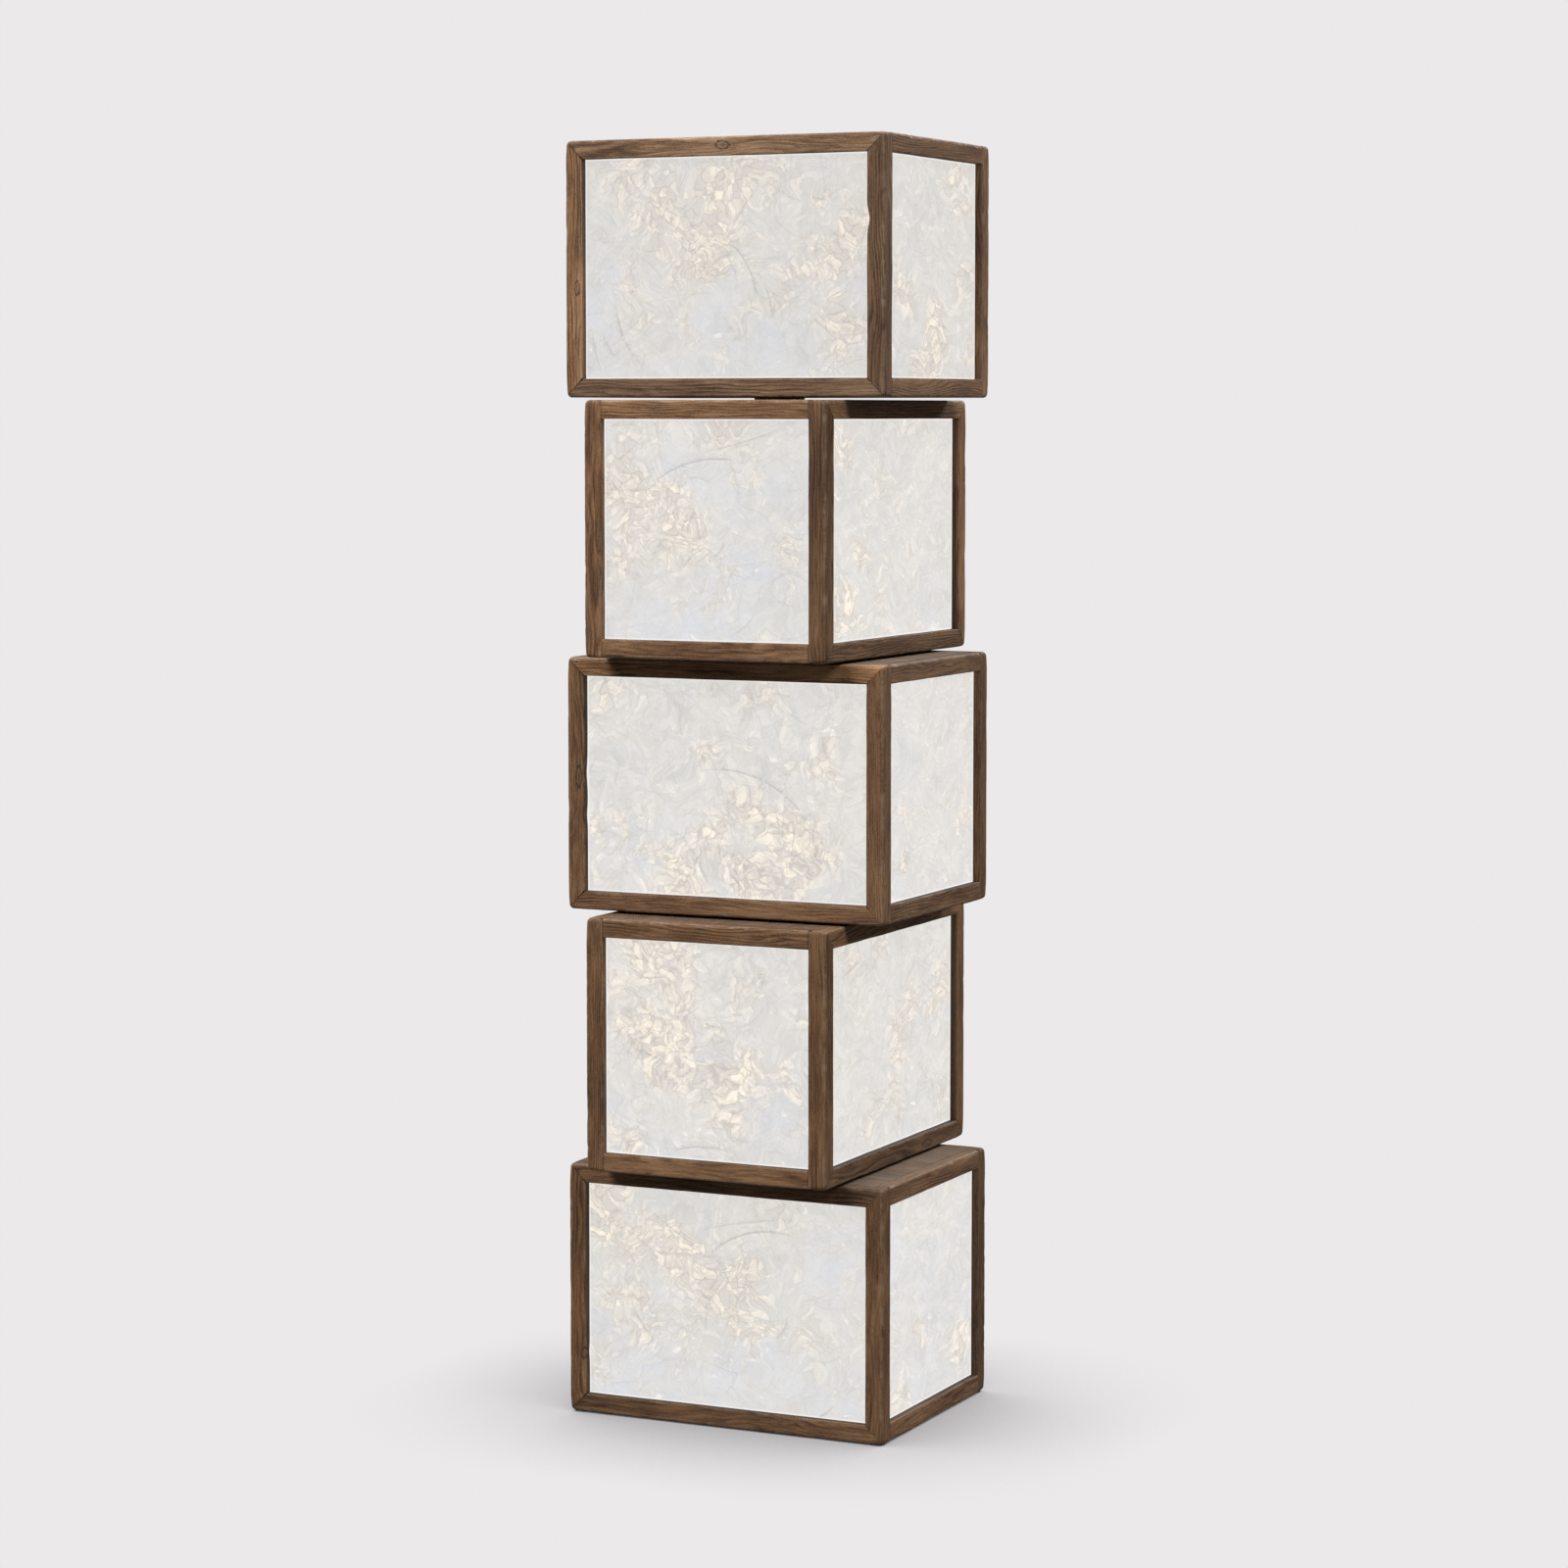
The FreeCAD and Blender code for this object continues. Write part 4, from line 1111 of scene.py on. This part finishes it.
def board_finish(name, along_y):
    """Open-grained wood of the boards, its grain along the box's long side."""
    wood = settings("lamp_wood")
    finish = Finish(name)
    turn = (0.0, 0.0, -math.pi / 2 if along_y else 0.0)
    grain = finish.signal("Mapping", {"Vector": finish.place(), "Rotation": turn,
                                      "Location": BOARD_HEART})
    tone, height = wood_surface(grain)
    tone = finish.mix(0.30, tone, wood.worn)
    fleck = grain.noise((60.0, 700.0, 700.0), 3.0, 0.6).ramp(0.5, 0.72)
    tone = finish.mix(fleck * 0.5, tone, wood.dark)
    speck = grain.noise(420.0, 2.0, 0.7).ramp(0.60, 0.70)
    tone = finish.tint(finish.mix(speck * 0.45, tone, wood.dark), BOARD_TINT)
    return finish.surface({"Base Color": tone, "Roughness": 0.7, "Specular IOR Level": 0.3,
                           "Normal": finish.bump(height, 0.7, GRAIN_DEPTH)})


# Tones of the paper: thick smoky parts, thin hazy ones, painted highlights on the wrinkles, lit
# flecks, the painted shade of a crease, its lit lip, the lit rim of a sheet, and what cools the
# smooth parts
SMOKE_TONE = (0.660, 0.650, 0.635)
HAZE_TONE = (0.775, 0.758, 0.738)
WRINKLE_HIGHLIGHT_TONE = (0.83, 0.80, 0.765)
FLECK_TONE = (0.95, 0.915, 0.865)
CREASE_SHADE_TONE = (0.27, 0.255, 0.245)
LIP_TONE = (0.90, 0.87, 0.83)
RIM_TONE = (0.93, 0.90, 0.88)
COOL_TINT = (0.990, 0.998, 1.017)
BIG_FACETS, SMALL_FACETS = 88.0, 185.0
FACET_DEPTH = 0.5 * MM
# A crease's painted line of shade, core and edge, the reach of the painted shade below it and of the
# lit lip above it, where both start, and the lit rim of a sheet, core and edge
LINE_CORE, LINE_EDGE = 0.25 * MM, 1.9 * MM
LIP_START, LIP_REACH, SHADE_REACH = 0.8 * MM, 4.5 * MM, 7.0 * MM
RIM_CORE, RIM_EDGE = 0.8 * MM, 2.6 * MM


def facets(place, scale):
    """Random soft facets: each cell has its own tone and its own painted gradient of light and shade
    across itself, lighter on one side and darker on the other, and blends into its neighbours. Gives
    the tone with its painted shading, and the line between the cells."""
    finish = place.finish
    cells = finish.node("TexVoronoi", {"Vector": place, "Scale": scale, "Smoothness": 0.15},
                        feature="SMOOTH_F1")
    tints = Signal(finish, cells.outputs["Color"])
    local = place - Signal(finish, cells.outputs["Position"])
    # Painted light and shade: a gradient across each facet, lighter on one side and darker on the
    # other
    facet_shading = finish.math("DOT_PRODUCT", local, tints - (0.5, 0.5, 0.5), output="Value")
    gap = finish.signal("TexVoronoi", {"Vector": place, "Scale": scale}, feature="DISTANCE_TO_EDGE")
    return facet_shading * (1.3 * scale) + tints.parts()[2], 1.0 - gap.ramp(0.0, 0.12)


def washi_finish(name):
    """Crinkled paper lit from behind: cool smooth stretches, plain wrinkled sheet and cream clumps of
    small facets, with creases between the facets and long folds over the sheet. Facets and wrinkles
    are painted lit on one side and shaded on the other, and the creases get painted shade."""
    paper = settings("lamp_paper")
    finish = Finish(name)
    place = finish.value("sheet")
    glow, streak, rim = finish.value("marks").parts()
    signed, force, through = finish.value("crease").parts()

    push = place.wander(15.0) * (0.075, 0.075, 0.0) + place.wander(70.0) * (0.012, 0.012, 0.0)
    squeeze = {0: streak * 1.2 + 1.0, 1: streak * -0.4 + 1.0, 2: 1.0}
    pushed = (place + push) * finish.signal("CombineXYZ", squeeze)
    big, big_gap = facets(pushed, BIG_FACETS)
    small, small_gap = facets(pushed, SMALL_FACETS)
    facet = big * 0.50 + small * 0.42 + pushed.noise(110.0, 3.0, 0.6) * 0.45
    bright = facet.ramp(0.40, 1.10)
    clumped = (pushed.noise(26.0, 4.0, 0.6) * 2.1 + glow * 0.95).ramp(1.02, 1.94)
    rise = place.parts()[1]
    even = place.noise(9.0, 3.0, 0.6) + rise * 0.6 - streak * 0.35 + finish.value("warmth", "Fac")
    even = even.ramp(0.44, 0.68)

    sheet = finish.mix(even, paper.cool, paper.plain)
    sheet = finish.mix(pushed.noise(15.0, 3.0, 0.55).ramp(0.34, 0.62), SMOKE_TONE, sheet)
    haze = pushed.noise(40.0, 5.0, 0.65).ramp(0.36, 0.66)
    sheet = finish.mix(haze * 0.50, sheet, HAZE_TONE)
    # Painted highlights on the lit sides of the wrinkles
    sheet = finish.mix(bright * (even * 0.34 + 0.14), sheet, WRINKLE_HIGHLIGHT_TONE)
    sheet = finish.tint(sheet, finish.mix(even, COOL_TINT, WHITE))
    # In a clump, facets are painted shaded on their dark side and cream on their lit side
    tone = finish.mix(clumped, sheet, finish.mix(bright, paper.shaded, paper.cream))
    fleck = facet.ramp(0.98, 1.16) * place.noise(38.0).ramp(0.50, 0.60)
    tone = finish.mix(fleck * 0.60, tone, FLECK_TONE)

    # Painted shade between the facets, on the fine ridges, and along and below a long crease, and a
    # painted highlight on its upper lip
    ridge = 1.0 - abs(pushed.noise(48.0, 3.0, 0.55) - 0.5).ramp(0.0, 0.035)
    shade = (big_gap * 0.22 + small_gap * 0.10) * (clumped * 0.90 + 0.24) + ridge * 0.040
    line = 1.0 - abs(signed).ramp(LINE_CORE, LINE_EDGE)
    below = signed.ramp(0.0, LIP_START) * (1.0 - signed.ramp(LIP_START, SHADE_REACH))
    shade = shade + (line * 0.32 + below * 0.09) * force
    tone = finish.mix(shade, tone, CREASE_SHADE_TONE)
    lip = (1.0 - signed.ramp(-LIP_START, 0.0)) * signed.ramp(-LIP_REACH, -LIP_START)
    tone = finish.mix(lip * force * 0.14, tone, LIP_TONE)
    tone = finish.mix((1.0 - rim.ramp(RIM_CORE, RIM_EDGE)) * 0.60, tone, RIM_TONE)
    tone = finish.tint(tone, finish.grey(through))
    return finish.surface({
        "Base Color": finish.mix(0.95, tone, (0.0, 0.0, 0.0)), "Roughness": 0.85,
        "Specular IOR Level": 0.12, "Emission Color": tone, "Emission Strength": paper.glow,
        "Normal": finish.bump(big * 0.6 + small * 0.3, 0.25, FACET_DEPTH)})


FROST_TONE = (0.95, 0.88, 0.76)
GLASS_TONE = (1.0, 0.94, 0.84)
BULB_GLOW = 1.6
COAT_DEPTH, COARSE_RATIO = 0.1 * MM, 12
# Plain finishes: colour, roughness, how metallic, how far the tone wanders, noise per metre
PLAIN_FINISHES = {
    "black_moulding": ((0.022, 0.021, 0.020), 0.45, 0.0, 0.3, 900.0),
    "black_powder_coat": ((0.030, 0.029, 0.028), 0.55, 0.0, 0.35, 1400.0),
    "dull_zinc": ((0.42, 0.42, 0.41), 0.42, 1.0, 0.18, 300.0),
    "cloth_sheath": ((0.05, 0.045, 0.04), 0.6, 0.0, 0.35, 700.0),
    "white_moulding": ((0.74, 0.73, 0.70), 0.4, 0.0, 0.06, 500.0),
    "pressed_felt": ((0.09, 0.075, 0.062), 0.9, 0.0, 0.4, 2500.0),
}


def plain_finish(name, rgb, roughness, metallic, speckle, scale):
    """A coated or bare surface whose tone and gloss wander a little."""
    finish = Finish(name)
    place = finish.place()
    fine = place.noise(scale, 4.0, 0.6)
    patches = (fine * 0.5 + place.noise(scale / COARSE_RATIO) * 0.5).ramp(0.3, 0.7)
    darker = [channel * (1 - speckle) for channel in rgb]
    lighter = [min(1.0, channel * (1 + speckle) + 0.01) for channel in rgb]
    return finish.surface({"Base Color": finish.mix(patches, darker, lighter),
                           "Roughness": fine * 0.2 + (roughness - 0.1), "Metallic": metallic,
                           "Normal": finish.bump(fine, 0.25, COAT_DEPTH)})


def bulb_finish(name):
    """Frosted bulb that glows warm."""
    finish = Finish(name)
    tone = finish.mix(finish.place().noise(60.0, 3.0), FROST_TONE, GLASS_TONE)
    return finish.surface({"Base Color": tone, "Roughness": 0.45, "Emission Color": tone,
                           "Emission Strength": BULB_GLOW})


def finish_once(name, maker, *arguments):
    """A material by name, made the first time it is asked for."""
    found = bpy.data.materials.get(name)
    return found if found else maker(name, *arguments)


def old_wood():
    """The wood of every stick."""
    return finish_once("weathered_stick", stick_finish)


def washi():
    """The paper of every panel."""
    return finish_once("crinkled_washi", washi_finish)


SOFT_ANGLE = math.radians(40)
BOARD_EDGE, SOFT_EDGE, FINE_EDGE = 0.4 * MM, 0.3 * MM, 0.2 * MM


def dress(nodes, material, bevel=0.0):
    """Gives CAD nodes their finish and, where asked, a small live bevel."""
    for node in nodes:
        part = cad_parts[node]
        part.data.materials.clear()
        part.data.materials.append(material)
        if bevel:
            softened = part.modifiers.new("soft_edges", "BEVEL")
            softened.width = bevel
            softened.segments = 2
            softened.limit_method = "ANGLE"
            softened.angle_limit = SOFT_ANGLE


def dress_plain(nodes, name, bevel=0.0):
    """Gives CAD nodes one of the plain finishes."""
    dress(nodes, finish_once(name, plain_finish, *PLAIN_FINISHES[name]), bevel)


def fit(piece, material, node, body):
    """Makes a piece, lets it ride on its body and lets it stand for its CAD node."""
    made = piece.make(material)
    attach(made, body)
    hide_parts(node)


def fit_to_boxes(maker, part, material):
    """Fits a box's piece in every storey. The lowest box is part of the root body."""
    for level in LEVELS:
        box = "box%d" % (level + 1)
        fit(maker(level), material, "%s_%s" % (box, part), box if level else "root")


class LAMP_OT_posts(bpy.types.Operator):
    """Carve the weathered posts of every box"""
    bl_idname = "lamp.posts"
    bl_label = "Posts"

    def execute(self, context):
        fit_to_boxes(post_piece, "posts", old_wood())
        return {"FINISHED"}


class LAMP_OT_long_rails(bpy.types.Operator):
    """Carve the mitred long rails of every box"""
    bl_idname = "lamp.long_rails"
    bl_label = "Long Rails"

    def execute(self, context):
        fit_to_boxes(long_rail_piece, "long_rails", old_wood())
        return {"FINISHED"}


class LAMP_OT_short_rails(bpy.types.Operator):
    """Carve the butted short rails of every box"""
    bl_idname = "lamp.short_rails"
    bl_label = "Short Rails"

    def execute(self, context):
        fit_to_boxes(short_rail_piece, "short_rails", old_wood())
        return {"FINISHED"}


class LAMP_OT_boards(bpy.types.Operator):
    """Give the top and bottom boards their open grain"""
    bl_idname = "lamp.boards"
    bl_label = "Boards"

    def execute(self, context):
        for level in LEVELS:
            turned = level % 2 == 1
            name = "open_grain_across" if turned else "open_grain"
            nodes = ["box%d_%s_board" % (level + 1, place) for place in ("top", "bottom")]
            dress(nodes, finish_once(name, board_finish, turned), BOARD_EDGE)
        return {"FINISHED"}


class LAMP_OT_papers(bpy.types.Operator):
    """Lay the crinkled paper panels into every box"""
    bl_idname = "lamp.papers"
    bl_label = "Paper Panels"

    def execute(self, context):
        fit_to_boxes(fixed_paper_piece, "fixed_papers", washi())
        return {"FINISHED"}


class LAMP_OT_doors(bpy.types.Operator):
    """Build the access doors with their paper"""
    bl_idname = "lamp.doors"
    bl_label = "Access Doors"

    def execute(self, context):
        for level in LEVELS:
            door = "box%d_door" % (level + 1)
            fit(sash_piece(level), old_wood(), door + "_sash", door)
            fit(door_paper_piece(level), washi(), door + "_paper", door)
        return {"FINISHED"}


class LAMP_OT_lights(bpy.types.Operator):
    """Finish the bulbs and their holders"""
    bl_idname = "lamp.lights"
    bl_label = "Bulbs and Holders"

    def execute(self, context):
        bulbs = ["box%d_bulb" % (level + 1) for level in LEVELS]
        holders = ["box%d_lampholder" % (level + 1) for level in LEVELS]
        dress(bulbs, finish_once("frosted_bulb", bulb_finish))
        dress_plain(holders, "black_moulding", SOFT_EDGE)
        return {"FINISHED"}


class LAMP_OT_metal(bpy.types.Operator):
    """Finish the pole, the ballast plate, the arms, the nuts and the washers"""
    bl_idname = "lamp.metal"
    bl_label = "Metalwork"

    def execute(self, context):
        dress_plain(("centre_pole", "base_plate", "lamp_arms"), "black_powder_coat", SOFT_EDGE)
        dress_plain(("pole_nuts", "spacer_washers"), "dull_zinc", SOFT_EDGE)
        return {"FINISHED"}


class LAMP_OT_wiring(bpy.types.Operator):
    """Finish the flex, the leads, the terminal block and the cord bush"""
    bl_idname = "lamp.wiring"
    bl_label = "Wiring"

    def execute(self, context):
        dress_plain(("riser_flex", "lamp_leads"), "cloth_sheath")
        dress_plain(["terminal_block"], "white_moulding", FINE_EDGE)
        dress_plain(["cord_gland"], "black_moulding", FINE_EDGE)
        return {"FINISHED"}


class LAMP_OT_pads(bpy.types.Operator):
    """Finish the felt pads under the lowest box"""
    bl_idname = "lamp.pads"
    bl_label = "Floor Pads"

    def execute(self, context):
        dress_plain(["floor_pads"], "pressed_felt", SOFT_EDGE)
        return {"FINISHED"}


# The stage: a disc under the lamp, and a sheet that runs out from it, bends and rises
DISC_RADII = np.array([0.02, 0.2, 0.5, 1.0, 1.4])
SHEET_MIDDLE, SHEET_FLAT, SHEET_BEND, SHEET_TOP = 4.0, 9.0, 3.0, 14.0
BEND_STEPS, STAGE_AROUND = 16, 96
CONTACT_TONE = (0.02, 0.015, 0.015)
AIR_TONE = (1.0, 0.985, 0.97)
SOFTBOX_TONE = (1.0, 0.99, 0.975)
OVERHEAD_TONE = (1.0, 0.995, 0.99)
SENSOR_WIDTH, FAR_CLIP = 36.0, 100.0
SOFTBOX_SIZE = 3.6
LAMP_MIDDLE = (0.0, 0.0, 0.75)
OVERHEAD_PLACE = (0.0, 0.0, 8.0)
OVERHEAD_SHARE = 0.37
# How much of the softbox power comes from the front right, back right, back left, front left
LIGHT_SHARES = (0.80, 0.90, 1.00, 1.15)


def turned_sheet(name, radii, heights, material):
    """A profile of radii and heights turned round the upright axis, its faces to the middle."""
    points = turned_profile(radii, heights, STAGE_AROUND)
    quads = grid_faces(len(radii), STAGE_AROUND, True)[:, ::-1]
    mesh = bpy.data.meshes.new(name)
    mesh.from_pydata(points.tolist(), [], quads.tolist())
    mesh.polygons.foreach_set("use_smooth", np.ones(len(mesh.polygons), bool))
    mesh.materials.append(material)
    sheet = bpy.data.objects.new(name, mesh)
    bpy.context.scene.collection.objects.link(sheet)
    sheet.visible_diffuse = False
    sheet.visible_glossy = False


def stage_finish(name, shadowed):
    """Even pale surface; near the lamp it darkens where the lamp stands close over it."""
    stage = settings("lamp_stage")
    finish = Finish(name)
    tone = stage.floor_tone
    if shadowed:
        near = finish.signal("AmbientOcclusion", {"Distance": stage.shadow_reach}, "AO", samples=8)
        openness = finish.math("POWER", near, stage.shadow_strength)
        tone = finish.mix(openness, CONTACT_TONE, tone)
    finish.node("OutputMaterial", {"Surface": finish.signal("Emission", {"Color": tone})})
    return finish.material


def soft_light(name, place, target, power, tone):
    """A square area light aimed at a point, itself out of sight."""
    data = bpy.data.lights.new(name, "AREA")
    data.shape = "SQUARE"
    data.size = SOFTBOX_SIZE
    data.energy = power
    data.color = tone
    light = bpy.data.objects.new(name, data)
    light.location = place
    aim = np.array(target) - np.array(place)
    flat = math.hypot(aim[0], aim[1])
    light.rotation_euler = (math.atan2(flat, -aim[2]), 0.0, math.atan2(-aim[0], aim[1]))
    light.visible_camera = False
    bpy.context.scene.collection.objects.link(light)


class LAMP_OT_stage(bpy.types.Operator):
    """Set the pale stage, the soft lights and the camera"""
    bl_idname = "lamp.stage"
    bl_label = "Stage"

    def execute(self, context):
        self.lay_sheets()
        self.light(context.scene)
        self.aim_camera(context.scene)
        return {"FINISHED"}

    def lay_sheets(self):
        """The floor and the backdrop, of one even tone."""
        turned_sheet("studio_floor", DISC_RADII, 0 * DISC_RADII,
                     finish_once("shadowed_floor", stage_finish, True))
        angle = np.linspace(0.0, math.pi / 2, BEND_STEPS)
        radii = np.concatenate([[DISC_RADII[-1], SHEET_MIDDLE],
                                SHEET_FLAT + SHEET_BEND * np.sin(angle),
                                [SHEET_FLAT + SHEET_BEND]])
        heights = np.concatenate([[0.0, 0.0], SHEET_BEND * (1 - np.cos(angle)), [SHEET_TOP]])
        turned_sheet("studio_sheet", radii, heights,
                     finish_once("pale_backdrop", stage_finish, False))

    def light(self, scene):
        """Even air, four softboxes round the lamp and one overhead."""
        stage = settings("lamp_stage")
        world = bpy.data.worlds.new("studio_air")
        world.use_nodes = True
        air = world.node_tree.nodes["Background"]
        air.inputs["Color"].default_value = (*AIR_TONE, 1.0)
        air.inputs["Strength"].default_value = stage.fill
        scene.world = world
        reach = stage.light_distance * math.cos(stage.light_height)
        height = LAMP_MIDDLE[2] + stage.light_distance * math.sin(stage.light_height)
        for index, share in enumerate(LIGHT_SHARES):
            heading = stage.azimuth + math.radians(45 + 90 * index)
            place = (reach * math.sin(heading), -reach * math.cos(heading), height)
            soft_light("softbox_%d" % (index + 1), place, LAMP_MIDDLE, stage.light_power * share,
                       SOFTBOX_TONE)
        soft_light("overhead_softbox", OVERHEAD_PLACE, (0.0, 0.0, 0.0),
                   OVERHEAD_SHARE * stage.light_power, OVERHEAD_TONE)
        scene.view_settings.view_transform = "Standard"

    def aim_camera(self, scene):
        """The camera at the photograph's viewing angle."""
        stage = settings("lamp_stage")
        data = bpy.data.cameras.new("studio_camera")
        data.lens = stage.lens
        data.sensor_width = SENSOR_WIDTH
        data.shift_y = stage.shift
        data.clip_end = FAR_CLIP
        camera = bpy.data.objects.new("studio_camera", data)
        sine, cosine = math.sin(stage.azimuth), math.cos(stage.azimuth)
        camera.location = (stage.distance * sine + stage.side_step * cosine,
                           -stage.distance * cosine + stage.side_step * sine, stage.height)
        camera.rotation_euler = (math.pi / 2 - stage.pitch, 0.0, stage.azimuth)
        scene.collection.objects.link(camera)
        scene.camera = camera


class LAMP_PT_panel(bpy.types.Panel):
    """Lists the lamp's settings and the steps that dress it"""
    bl_idname = "LAMP_PT_panel"
    bl_label = "Andon Lamp"
    bl_space_type = "VIEW_3D"
    bl_region_type = "UI"
    bl_category = "Andon Lamp"

    def draw(self, context):
        for group in GROUPS:
            held = getattr(context.scene, group)
            for name in held.bl_rna.properties.keys():
                if name not in ("rna_type", "name"):
                    self.layout.prop(held, name)
        for step in STEPS:
            self.layout.operator(step.bl_idname)


GROUPS = {"lamp_wood": LampWood, "lamp_paper": LampPaper, "lamp_stage": LampStage}
STEPS = (LAMP_OT_stage, LAMP_OT_posts, LAMP_OT_long_rails, LAMP_OT_short_rails, LAMP_OT_boards,
         LAMP_OT_papers, LAMP_OT_doors, LAMP_OT_lights, LAMP_OT_metal, LAMP_OT_wiring, LAMP_OT_pads)


def register():
    for name, group in GROUPS.items():
        bpy.utils.register_class(group)
        setattr(bpy.types.Scene, name, PointerProperty(type=group))
    for step in STEPS:
        bpy.utils.register_class(step)
    bpy.utils.register_class(LAMP_PT_panel)


def unregister():
    bpy.utils.unregister_class(LAMP_PT_panel)
    for step in reversed(STEPS):
        bpy.utils.unregister_class(step)
    for name, group in GROUPS.items():
        delattr(bpy.types.Scene, name)
        bpy.utils.unregister_class(group)


def plain(bounds):
    """Bounds as plain lists of numbers."""
    return [[float(value) for value in corner] for corner in bounds]


def main():
    register()
    for step in STEPS:
        group, action = step.bl_idname.split(".")
        getattr(getattr(bpy.ops, group), action)()


if __name__ == "__main__":
    main()
